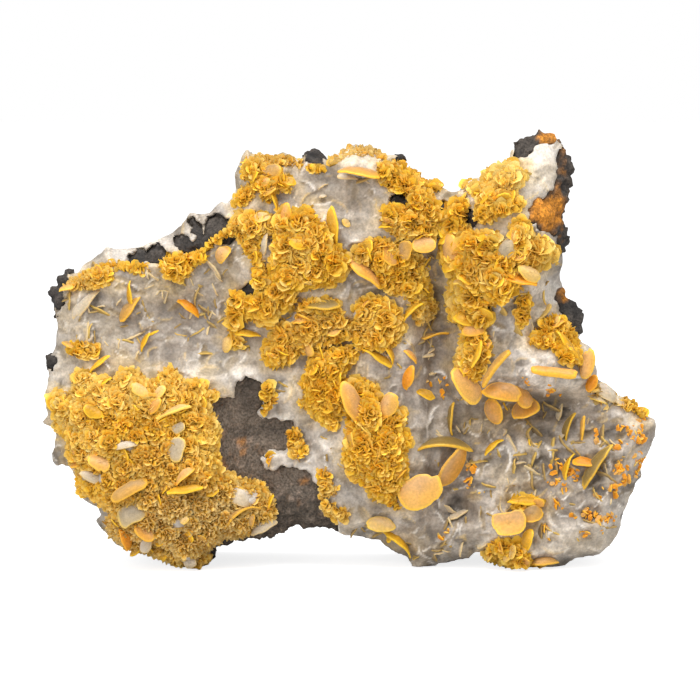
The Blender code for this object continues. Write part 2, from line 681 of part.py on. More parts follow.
def ground_cutter():
    """A block whose top is the ground."""
    block = bmesh.new()
    bmesh.ops.create_cube(block, size=1)
    block.transform(Matrix.Translation((0, 0, -0.01)) @ Matrix.Diagonal((0.3, 0.2, 0.02, 1)))
    cutter = bpy.data.objects.new("ground", mesh_of(block, "ground"))
    cutters.objects.link(cutter)
    return cutter


def make_materials():
    for kind, (colour, rough) in COLOURS.items():
        material = bpy.data.materials.new(kind)
        material.use_nodes = True
        shader = material.node_tree.nodes["Principled BSDF"]
        shader.inputs["Base Color"].default_value = (*colour, 1)
        shader.inputs["Roughness"].default_value = rough
        shader.inputs["Metallic"].default_value = 0


def collection(name):
    made = bpy.data.collections.new(name)
    bpy.context.scene.collection.children.link(made)
    return made


for old in list(bpy.data.objects):
    bpy.data.objects.remove(old)
specimen = collection("wulfenite_specimen")
cutters = collection("cutters")
cutters.hide_render = True
make_materials()

ground = ground_cutter()
matrix = build_matrix()
matrix_room = grown(matrix, CRUST_GAP)
build_crust([matrix_room, grown(matrix, LEAST_GAP)])
taken = [matrix_room, room_cutter("crust", CRUST_OUTLINE, CRUST_ROOM_CELL, 0, MOUND_GAP)]
for mound in MOUNDS:
    build_mound(*mound, taken)
taken += [room_cutter(name, outline, MOUND_CELL, rise, MOUND_GAP) for name, outline, rise, _ in MOUNDS]
for single_name in dict.fromkeys(owner for owner, *_ in BLADES if not owner.startswith("rosettes")):
    taken.append(grown(build_blades(single_name, taken)))
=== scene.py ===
"""The looks of the rough wulfenite specimen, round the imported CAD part.

The crust, the matrix and each mound of rosettes are moulded again finely over their CAD solids. Thousands of
thin curved fins stand on the mounds and on their sides, and the large blades are lens-shaped plates with
bright rims. Shapes on the face are plotted as (column, row) on the same grid as the part: one step is
0.2 mm, rows count downwards. Lengths are in metres where nothing else is said.
"""

import math
import random

import bmesh
import bpy
import numpy as np
from mathutils import Matrix, Vector


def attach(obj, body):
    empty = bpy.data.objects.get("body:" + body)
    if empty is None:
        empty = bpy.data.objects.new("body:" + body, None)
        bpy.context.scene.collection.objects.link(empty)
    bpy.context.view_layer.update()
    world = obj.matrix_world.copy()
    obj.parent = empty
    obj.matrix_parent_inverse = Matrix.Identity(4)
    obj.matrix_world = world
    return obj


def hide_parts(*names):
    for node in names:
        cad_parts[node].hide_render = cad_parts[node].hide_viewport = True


# The plotting grid, as in the part.
SPECIMEN_WIDTH = 0.1236
GRID_COLUMNS = 618
GRID_STEP = SPECIMEN_WIDTH / GRID_COLUMNS
CENTRE_COLUMN = 351
GROUND_ROW = 571

# Relief, as in the part, in metres.
BASE_DEPTH = 0.0170
TOP_DEPTH = 0.0095
FRONT_DEPTH = 0.0083
CRUST_THICKNESS = 0.0032
SLAB_DEPTH = 0.010
CRUST_WRAP, LEAST_WRAP = 0.0085, 0.0015
RIM_WIDTH = 0.0065
RIM_DROP = 0.0048

# How finely each piece is moulded, how thick the crust's slab is before it is bent, and how far its sides
# draw in.
CRUST_CELL, CRUST_SLAB = 0.00035, 0.0026
CRUST_TUCK = 0.0024
MATRIX_CELL = 0.00060
MOUND_CELL = 0.00050

# Points along the silhouette are drawn in towards this grid spot, by this much, before gaps are looked up.
FACE_MIDDLE = (351, 360)
EDGE_PULL = 0.0016

# The broken back: how much thinner it gets along its edge, over what width and above what height.
BACK_BEVEL, BACK_BEVEL_WIDTH, FLAT_FOOT = 0.0042, 0.009, 0.012

# The rock's sides: how much they narrow towards the back, lean in above a height, and are worn at the back.
BACK_NARROWING = 0.035
BACK_LEAN, LEAN_FROM = 0.05, 0.050
BACK_WEAR = 0.0030

# Mounds: how far they reach back into the crust, how wide their shoulders are, the size of their rosettes.
MOUND_ROOT = 0.0025
MOUND_SHOULDER = 0.0026
ROSETTE_RADII = (0.0018, 0.0036)
SMALL_ROSETTE_RADII = (0.0014, 0.0024)
SMALL_ROSETTE_RISE = 0.0008

# Fins: (share of the height, how many times as thick as the fin) of each row of points.
FIN_LEVELS = ((0.0, 1.6), (0.5, 1.2), (1.0, 0.0))
FIN_COLUMNS = 4
FIN_SPACING = 0.00051
SIDE_FIN_SPACING = 0.0009
LOWEST_FIN = 0.0007
FIN_ROOTING = 0.0006
FIN_HEIGHTS = (0.36, 0.66)
FIN_THICKNESS = (0.00010, 0.00018)

# How much longer or shorter than the others some fins are: times as long, and share of the fins.
FIN_LENGTH_MIX = {0.8: 0.35, 1.0: 0.5, 1.35: 0.15}

# How far fins fan out from the middle of their rosette, and how wildly they point: everywhere, more so where
# they are pale, and more so on a mound's sides.
FIN_FAN = 0.42
FIN_WILDNESS, PALE_WILDNESS, SIDE_WILDNESS = 0.22, 0.20, 0.6

# How rough each surface is: layers of noise as (height, size of its lumps, seed).
FACE_LUMPS = ((0.0007, 0.0080, 1), (0.0004, 0.0036, 2))
GAP_EDGE = ((0.0005, 0.0032, 64), (0.0006, 0.0015, 20), (0.0005, 0.0008, 21))
BACK_LUMPS = ((0.0026, 0.0220, 3), (0.0014, 0.0090, 4))
CRUST_SIDE = ((0.0005, 0.0026, 63),)
CRUST_SHIFT = ((0.00035, 0.0030, 24),)
WRAP_UNEVENNESS = ((0.40, 0.012, 61), (0.22, 0.004, 62))
SIDE_WOBBLE = ((0.0010, 0.0075, 5), (0.0010, 0.0075, 6))
ROCK_GRAIN = ((0.00030, 0.0016, 8), (0.00022, 0.0009, 9))
ROCK_KNOBS = ((0.0010, 0.0020, 10), (0.0008, 0.0011, 16))
ROCK_FRACTURE = ((0.0011, 0.0065, 17), (0.0007, 0.0030, 18))
ROCK_BREAKS = ((0.0010, 0.0050, 72), (0.0006, 0.0021, 73))
RUST_PATCHES = ((1.0, 0.0034, 12), (0.7, 0.0014, 69), (0.5, 0.0009, 71))
BARE_ROUGHNESS = ((1.0, 0.0012, 45), (0.5, 0.0030, 46))

# The specimen's outline.
SILHOUETTE = [
    (46, 296), (51, 291), (57, 285), (60, 279), (64, 273), (70, 276), (77, 274), (81, 268), (90, 262),
    (97, 256), (104, 250), (107, 247), (115, 250), (125, 250), (140, 247), (150, 243), (160, 238),
    (170, 234), (180, 226), (188, 215), (191, 213), (200, 215), (210, 214), (214, 209), (221, 202),
    (226, 205), (230, 200), (233, 196), (236, 190), (234, 181), (233, 175), (236, 168), (239, 163),
    (241, 158), (247, 150), (252, 154), (258, 157), (262, 153), (265, 158), (276, 156), (283, 153),
    (290, 156), (296, 159), (301, 160), (303, 156), (309, 154), (316, 154), (321, 158), (326, 162),
    (333, 158), (339, 156), (343, 151), (350, 148), (356, 145), (361, 148), (368, 147), (376, 151),
    (383, 155), (403, 156), (403, 161), (401, 164), (407, 168), (413, 174), (420, 180), (427, 183),
    (435, 184), (441, 187), (447, 190), (451, 193), (456, 192), (462, 190), (464, 183), (472, 180),
    (480, 178), (490, 177), (496, 172), (500, 166), (505, 161), (511, 160), (513, 152), (519, 148),
    (519, 142), (527, 139), (533, 135), (540, 133), (556, 134), (557, 138), (560, 144), (565, 147),
    (567, 152), (572, 160), (573, 170), (571, 183), (568, 195), (567, 208), (564, 220), (567, 228),
    (570, 238), (567, 248), (564, 252), (562, 275), (563, 287), (567, 295), (569, 303), (577, 305),
    (582, 314), (584, 322), (582, 333), (579, 341), (585, 345), (592, 350), (596, 356), (595, 366),
    (598, 374), (600, 380), (608, 386), (616, 392), (620, 398), (630, 400), (637, 406), (643, 412),
    (650, 419), (658, 422), (660, 428), (659, 440), (656, 448), (652, 457), (646, 465), (643, 472),
    (645, 477), (642, 483), (638, 486), (635, 495), (630, 500), (629, 508), (625, 520), (622, 530),
    (618, 540), (613, 549), (606, 555), (600, 560), (590, 562), (580, 563), (572, 568), (566, 573),
    (556, 577), (520, 578), (506, 577), (500, 566), (494, 561), (486, 560), (484, 556), (475, 556),
    (472, 560), (470, 563), (462, 565), (455, 566), (440, 569), (432, 576), (416, 577), (412, 568),
    (408, 562), (400, 559), (392, 555), (385, 550), (381, 545), (375, 546), (365, 543), (357, 541),
    (345, 540), (335, 535), (330, 533), (320, 532), (304, 533), (298, 531), (292, 529), (286, 533),
    (280, 537), (270, 541), (262, 541), (252, 543), (236, 543), (228, 546), (222, 549), (213, 552),
    (206, 555), (207, 562), (202, 575), (196, 577), (176, 577), (168, 575), (165, 566), (158, 563),
    (150, 561), (143, 558), (130, 557), (122, 553), (114, 549), (109, 544), (104, 538), (98, 532),
    (94, 524), (98, 518), (95, 510), (90, 507), (83, 503), (77, 495), (74, 490), (75, 483), (73, 477),
    (72, 472), (68, 469), (60, 467), (55, 469), (50, 465), (50, 455), (52, 450), (54, 440), (53, 432),
    (48, 428), (42, 427), (41, 424), (46, 418), (44, 410), (43, 402), (45, 390), (47, 378), (43, 368),
    (44, 358), (50, 355), (54, 347), (57, 330), (53, 315),
]

# Where the crust is missing at the specimen's edge and the matrix is the outside.
BARE_EDGES = [
    [(30, 285), (58, 285), (60, 300), (57, 332), (40, 332)],
    [(30, 344), (55, 346), (52, 372), (30, 374)],
    [(48, 262), (92, 240), (108, 246), (100, 258), (84, 268), (70, 279), (60, 288), (50, 286)],
    [(383, 145), (410, 150), (410, 166), (384, 160)],
    [(302, 146), (326, 148), (328, 164), (302, 164)],
    [(511, 128), (560, 124), (560, 145), (548, 144), (535, 148), (519, 158), (511, 162)],
    [(562, 140), (585, 150), (580, 254), (558, 256), (556, 235), (550, 228), (540, 225), (530, 219),
     (530, 210), (534, 203), (548, 193), (556, 187), (559, 178), (561, 165)],
    [(558, 286), (570, 292), (590, 304), (590, 338), (574, 341), (568, 330), (562, 306), (556, 300)],
    [(206, 545), (222, 541), (245, 534), (262, 532), (262, 500), (322, 500), (330, 519), (336, 536),
     (336, 560), (206, 562)],
    [(90, 520), (101, 520), (101, 534), (90, 534)],
]

# Holes in the crust over dark druse or bare matrix.
CRUST_HOLES = [
    [(206, 404), (214, 391), (223, 396), (233, 401), (236, 386), (246, 378), (257, 380), (263, 391),
     (261, 404), (256, 414), (263, 421), (276, 420), (288, 424), (294, 433), (292, 444), (283, 450),
     (270, 453), (262, 462), (266, 475), (278, 471), (292, 469), (306, 469), (315, 476), (318, 492),
     (324, 508), (332, 522), (338, 546), (300, 560), (240, 560), (236, 500), (222, 476), (206, 452),
     (204, 425)],
    [(205, 216), (216, 214), (228, 218), (238, 224), (237, 236), (228, 243), (218, 243), (208, 238),
     (205, 228)],
    [(187, 223), (194, 221), (202, 226), (202, 234), (192, 233)],
    [(172, 238), (183, 235), (196, 240), (206, 237), (215, 244), (206, 253), (190, 255), (178, 250)],
    [(128, 257), (137, 253), (146, 249), (152, 246), (163, 247), (169, 254), (164, 262), (150, 263),
     (138, 265), (130, 262)],
    [(237, 292), (246, 286), (256, 284), (260, 290), (256, 298), (246, 302), (239, 298)],
    [(390, 198), (398, 194), (408, 197), (412, 202), (406, 206), (394, 205)],
    [(435, 204), (444, 201), (453, 204), (455, 211), (446, 216), (437, 213)],
    [(462, 211), (470, 209), (474, 220), (470, 232), (463, 229)],
    [(452, 270), (459, 268), (460, 286), (454, 290)],
    [(393, 257), (401, 256), (402, 263), (395, 264)],
]

# The first hole is the window over brown rock. The others open over dark druse.
WINDOW, DRUSE_GAPS = CRUST_HOLES[:1], CRUST_HOLES[1:]

# Crust stained yellow: (column, row, half width, half height, strength).
STAIN_SPOTS = [
    (520, 168, 16, 14, 0.9), (548, 176, 14, 16, 0.7), (505, 215, 26, 12, 0.9), (535, 205, 10, 12, 0.5),
    (85, 350, 26, 14, 0.7), (75, 325, 20, 12, 0.5), (225, 270, 14, 22, 0.7), (175, 296, 30, 10, 0.4),
    (310, 290, 26, 10, 0.4), (345, 160, 26, 10, 0.8), (545, 300, 14, 16, 0.2), (480, 425, 40, 14, 0.5),
    (530, 540, 40, 16, 0.3), (300, 400, 14, 26, 0.6), (215, 365, 30, 8, 0.4), (590, 545, 40, 14, 0.4),
    (640, 420, 16, 12, 0.5), (350, 520, 24, 14, 0.5), (110, 330, 16, 30, 0.4), (520, 475, 30, 14, 0.2),
    (400, 545, 26, 12, 0.6),
]

# Specks of dark druse on the crust: (column, row, half width, half height, strength).
DRUSE_SPECKS = [
    (90, 373, 6, 3, 0.9), (117, 373, 6, 4, 0.9), (154, 373, 6, 4, 0.9), (187, 385, 5, 4, 1.0),
    (210, 387, 6, 5, 0.9), (62, 386, 4, 6, 0.8), (98, 532, 4, 8, 1.0), (84, 470, 3, 4, 0.5),
    (625, 521, 3, 6, 1.0), (451, 511, 5, 6, 0.8), (470, 480, 6, 7, 0.6), (458, 500, 6, 6, 0.6),
    (246, 168, 5, 6, 0.5), (240, 188, 4, 8, 0.6), (447, 196, 4, 4, 0.8), (512, 190, 3, 4, 0.4),
]

# Swells and hollows of the face, as in the part: (column, row, half width, half height, metres out).
SWELLS = [
    (150, 455, 105, 92, 0.0052), (190, 520, 60, 40, 0.0015), (312, 258, 74, 70, 0.0030),
    (362, 164, 42, 18, 0.0034), (405, 215, 46, 46, 0.0022), (505, 255, 52, 96, 0.0058),
    (548, 368, 58, 30, 0.0046), (476, 365, 30, 36, 0.0040), (372, 445, 54, 66, 0.0038),
    (590, 500, 60, 60, 0.0026), (500, 545, 70, 34, 0.0022), (437, 335, 24, 86, -0.0058),
    (545, 414, 76, 27, -0.0044), (470, 425, 40, 34, -0.0026), (185, 325, 74, 46, -0.0022),
    (322, 190, 46, 24, -0.0026), (262, 440, 46, 66, -0.0024), (448, 490, 34, 34, -0.0014),
    (552, 155, 40, 46, -0.0034),
]

# Mounds of rosettes: CAD node: outlines, rise in metres, length range of the fins in metres.
FINE, MIDDLE, COARSE = (0.0007, 0.0014), (0.0009, 0.0018), (0.0011, 0.0024)
MOUNDS = {
    "rosettes_lower_left": ([
        [(47, 398), (58, 390), (68, 397), (75, 385), (72, 378), (76, 370), (85, 370), (95, 375), (107, 377),
         (115, 384), (117, 375), (125, 368), (131, 366), (140, 373), (148, 379), (156, 378), (163, 371),
         (170, 369), (180, 373), (183, 384), (190, 380), (200, 379), (208, 386), (219, 395), (210, 400),
         (210, 413), (217, 420), (219, 433), (215, 450), (220, 460), (221, 475), (233, 475), (243, 480),
         (258, 483), (265, 488), (272, 500), (277, 513), (274, 520), (262, 532), (246, 540), (222, 542),
         (206, 555), (209, 562), (201, 572), (178, 572), (168, 566), (150, 559), (125, 552), (108, 540),
         (104, 525), (110, 512), (100, 505), (88, 497), (77, 493), (76, 478), (75, 468), (69, 460),
         (66, 438), (56, 433), (55, 418), (50, 405)]], 0.0030, FINE),
    "rosettes_top_left": ([
        [(277, 157), (268, 165), (262, 168), (258, 177), (259, 183), (252, 184), (245, 188), (238, 196),
         (234, 206), (243, 206), (252, 200), (256, 192), (261, 189), (262, 198), (267, 202), (273, 200),
         (275, 192), (281, 189), (288, 191), (293, 184), (291, 178), (280, 174)],
        [(244, 159), (262, 158), (264, 163), (257, 170), (257, 178), (244, 179)]], 0.0018, MIDDLE),
    "rosettes_middle_left": ([
        [(237, 216), (243, 211), (252, 211), (265, 215), (275, 218), (278, 226), (268, 234), (261, 238),
         (258, 250), (262, 262), (270, 270), (268, 288), (256, 288), (254, 262), (250, 252), (243, 248),
         (237, 230), (225, 236), (218, 242), (208, 248), (212, 240), (225, 232)]], 0.0018, MIDDLE),
    "rosettes_middle": ([
        [(278, 222), (280, 210), (286, 206), (291, 215), (308, 208), (318, 218), (325, 230), (332, 242),
         (340, 250), (349, 258), (345, 272), (332, 284), (310, 283), (296, 286), (291, 294), (298, 300),
         (281, 309), (272, 328), (262, 322), (248, 316), (240, 320), (236, 334), (246, 350), (232, 345),
         (229, 322), (229, 305), (233, 293), (246, 299), (262, 294), (271, 282), (274, 262), (276, 240)]],
        0.0028, COARSE),
    "rosettes_middle_low": ([
        [(262, 352), (268, 340), (272, 328), (290, 316), (303, 300), (320, 297), (340, 301), (342, 312),
         (352, 322), (350, 338), (330, 343), (312, 350), (296, 356), (284, 366), (270, 366)]],
        0.0022, MIDDLE),
    "rosettes_middle_right": ([
        [(352, 310), (358, 300), (370, 296), (386, 298), (396, 306), (402, 318), (405, 326), (399, 340),
         (392, 348), (374, 349), (360, 350), (354, 338)]], 0.0025, MIDDLE),
    "rosettes_column": ([
        [(310, 352), (330, 347), (350, 345), (358, 352), (352, 366), (341, 374), (340, 388), (343, 402),
         (338, 424), (331, 430), (315, 415), (300, 403), (305, 395), (300, 385), (309, 365)]],
        0.0024, MIDDLE),
    "rosettes_lower_middle": ([
        [(344, 380), (352, 376), (362, 377), (368, 384), (376, 383), (380, 395), (385, 408), (396, 405),
         (407, 412), (400, 425), (408, 435), (410, 443), (404, 452), (407, 465), (404, 485), (395, 492),
         (393, 500), (402, 510), (385, 502), (372, 495), (365, 482), (350, 475), (343, 460), (345, 445),
         (348, 420), (344, 400)]], 0.0028, MIDDLE),
    "rosettes_top_right": ([
        [(377, 163), (400, 162), (408, 170), (418, 178), (421, 184), (441, 184), (441, 188), (429, 192),
         (434, 200), (437, 212), (441, 216), (440, 232), (428, 240), (410, 236), (398, 238), (384, 226),
         (382, 208), (390, 204), (400, 207), (412, 203), (408, 194), (390, 190), (380, 180)]],
        0.0024, MIDDLE),
    "rosettes_gully": ([
        [(352, 252), (357, 246), (364, 240), (374, 238), (392, 240), (410, 246), (424, 262), (428, 285),
         (432, 300), (438, 308), (432, 320), (420, 326), (412, 314), (410, 296), (398, 292), (388, 293),
         (378, 282), (370, 268), (358, 260)]], 0.0024, MIDDLE),
    "rosettes_horn": ([
        [(464, 185), (480, 186), (486, 178), (495, 170), (512, 162), (520, 173), (526, 172), (526, 178),
         (506, 190), (520, 199), (521, 206), (500, 213), (480, 222), (475, 215), (476, 197)]],
        0.0022, MIDDLE),
    "rosettes_ridge": ([
        [(441, 228), (444, 216), (451, 203), (460, 197), (466, 203), (461, 218), (465, 228), (470, 232),
         (495, 232), (497, 240), (483, 252), (507, 248), (510, 236), (508, 225), (512, 219), (522, 218),
         (530, 238), (540, 236), (547, 247), (556, 250), (540, 265), (520, 264), (508, 258), (510, 270),
         (525, 276), (512, 288), (500, 300), (482, 304), (490, 314), (484, 325), (466, 328), (452, 318),
         (450, 300), (453, 285), (457, 271), (447, 270), (443, 262)]], 0.0030, COARSE),
    "rosettes_ridge_foot": ([
        [(462, 330), (484, 328), (490, 350), (478, 380), (462, 378), (455, 365), (460, 350)]],
        0.0022, MIDDLE),
    "rosettes_right_edge": ([
        [(540, 320), (556, 316), (565, 320), (572, 330), (578, 345), (580, 362), (566, 362), (550, 347),
         (528, 343), (529, 334), (540, 330)]], 0.0024, MIDDLE),
    "rosettes_foot": ([
        [(512, 540), (524, 538), (526, 546), (530, 563), (545, 566), (540, 570), (515, 570), (500, 566),
         (487, 562), (484, 555), (496, 541)],
        [(512, 499), (535, 498), (546, 503), (536, 508), (530, 516), (514, 510)]], 0.0020, MIDDLE),
    "rosettes_panel_left": ([
        [(62, 288), (72, 280), (86, 272), (104, 266), (114, 268), (113, 280), (100, 287), (80, 290)]],
        0.0020, FINE),
    "rosettes_panel_top": ([
        [(161, 264), (168, 256), (180, 254), (192, 255), (204, 250), (206, 259), (194, 264), (190, 275),
         (178, 280), (166, 277)]], 0.0021, MIDDLE),
}

# Crust showing between the rosettes: (column, row, half width, half height).
BARE_PATCHES = [
    (94, 475, 14, 6), (127, 442, 11, 6), (179, 447, 9, 11), (179, 425, 5, 5), (161, 389, 7, 8),
    (244, 498, 18, 10), (134, 511, 16, 10), (145, 542, 6, 9), (180, 521, 9, 6), (188, 562, 9, 8),
    (268, 250, 6, 17), (295, 231, 6, 5), (320, 291, 28, 9), (510, 322, 9, 14), (290, 313, 9, 12),
    (350, 313, 10, 8), (425, 345, 10, 12),
]

# Small rosettes away from the mounds: outlines in the crust.
SMALL_ROSETTES = [
    [(127, 270), (134, 263), (146, 263), (153, 269), (146, 273), (134, 273)],
    [(514, 296), (524, 290), (531, 300), (528, 318), (520, 327), (514, 316)],
    [(588, 396), (592, 386), (602, 384), (610, 396), (606, 408), (596, 406)],
    [(614, 396), (626, 398), (638, 405), (648, 416), (646, 421), (632, 412), (618, 408)],
    [(292, 450), (297, 448), (301, 453), (297, 459), (291, 456)],
    [(261, 390), (270, 382), (276, 396), (272, 410), (262, 415), (262, 400)],
    [(285, 436), (296, 427), (302, 438), (308, 452), (298, 462), (290, 452)],
    [(265, 460), (270, 455), (275, 460), (270, 465)],
    [(318, 468), (330, 474), (333, 485), (340, 484), (336, 495), (325, 500), (350, 513), (350, 520),
     (335, 525), (322, 510), (317, 475)],
    [(67, 345), (80, 340), (98, 345), (100, 356), (84, 358), (70, 355)],
    [(326, 163), (334, 157), (345, 150), (357, 146), (372, 149), (384, 156), (386, 161), (370, 158),
     (354, 156), (342, 162), (330, 168)],
    [(258, 158), (264, 155), (276, 158), (284, 155), (293, 158), (301, 162), (304, 168), (292, 167),
     (276, 164), (262, 163)],
    [(303, 166), (312, 165), (322, 167), (328, 172), (318, 174), (308, 171)],
    [(100, 266), (112, 262), (128, 264), (128, 270), (112, 270)],
    [(206, 248), (216, 240), (222, 246), (212, 254)],
]

# Colours of the blades, linear: (rooted half, free half, rim).
TINTS = {
    "amber": ((0.60, 0.33, 0.130), (0.80, 0.37, 0.055), (1.00, 0.54, 0.050)),
    "peach": ((0.64, 0.37, 0.155), (0.82, 0.43, 0.090), (1.00, 0.58, 0.070)),
    "gold": ((0.56, 0.30, 0.040), (0.76, 0.39, 0.014), (1.00, 0.60, 0.035)),
    "cream": ((0.70, 0.47, 0.220), (0.82, 0.52, 0.130), (0.98, 0.64, 0.110)),
    "tan": ((0.42, 0.26, 0.110), (0.60, 0.31, 0.055), (0.92, 0.50, 0.050)),
    "grey": ((0.42, 0.34, 0.235), (0.54, 0.41, 0.230), (0.84, 0.56, 0.120)),
    "orange": ((0.66, 0.24, 0.018), (0.86, 0.31, 0.012), (1.00, 0.47, 0.030)),
    "olive": ((0.24, 0.17, 0.070), (0.30, 0.19, 0.045), (0.80, 0.47, 0.045)),
    "coated": ((0.62, 0.535, 0.430), (0.58, 0.465, 0.310), (0.72, 0.54, 0.280)),
    "sunk": ((0.38, 0.27, 0.120), (0.46, 0.30, 0.080), (0.66, 0.44, 0.110)),
    "shaded": ((0.22, 0.17, 0.120), (0.28, 0.20, 0.105), (0.44, 0.29, 0.090)),
}

# How many times as thick as the others some blades are.
THICK_BLADES = {"blade_ledge_bar": 2.0, "blade_feather": 1.6, "blade_top_shelf": 0.9, "hollow_blades": 1.2}

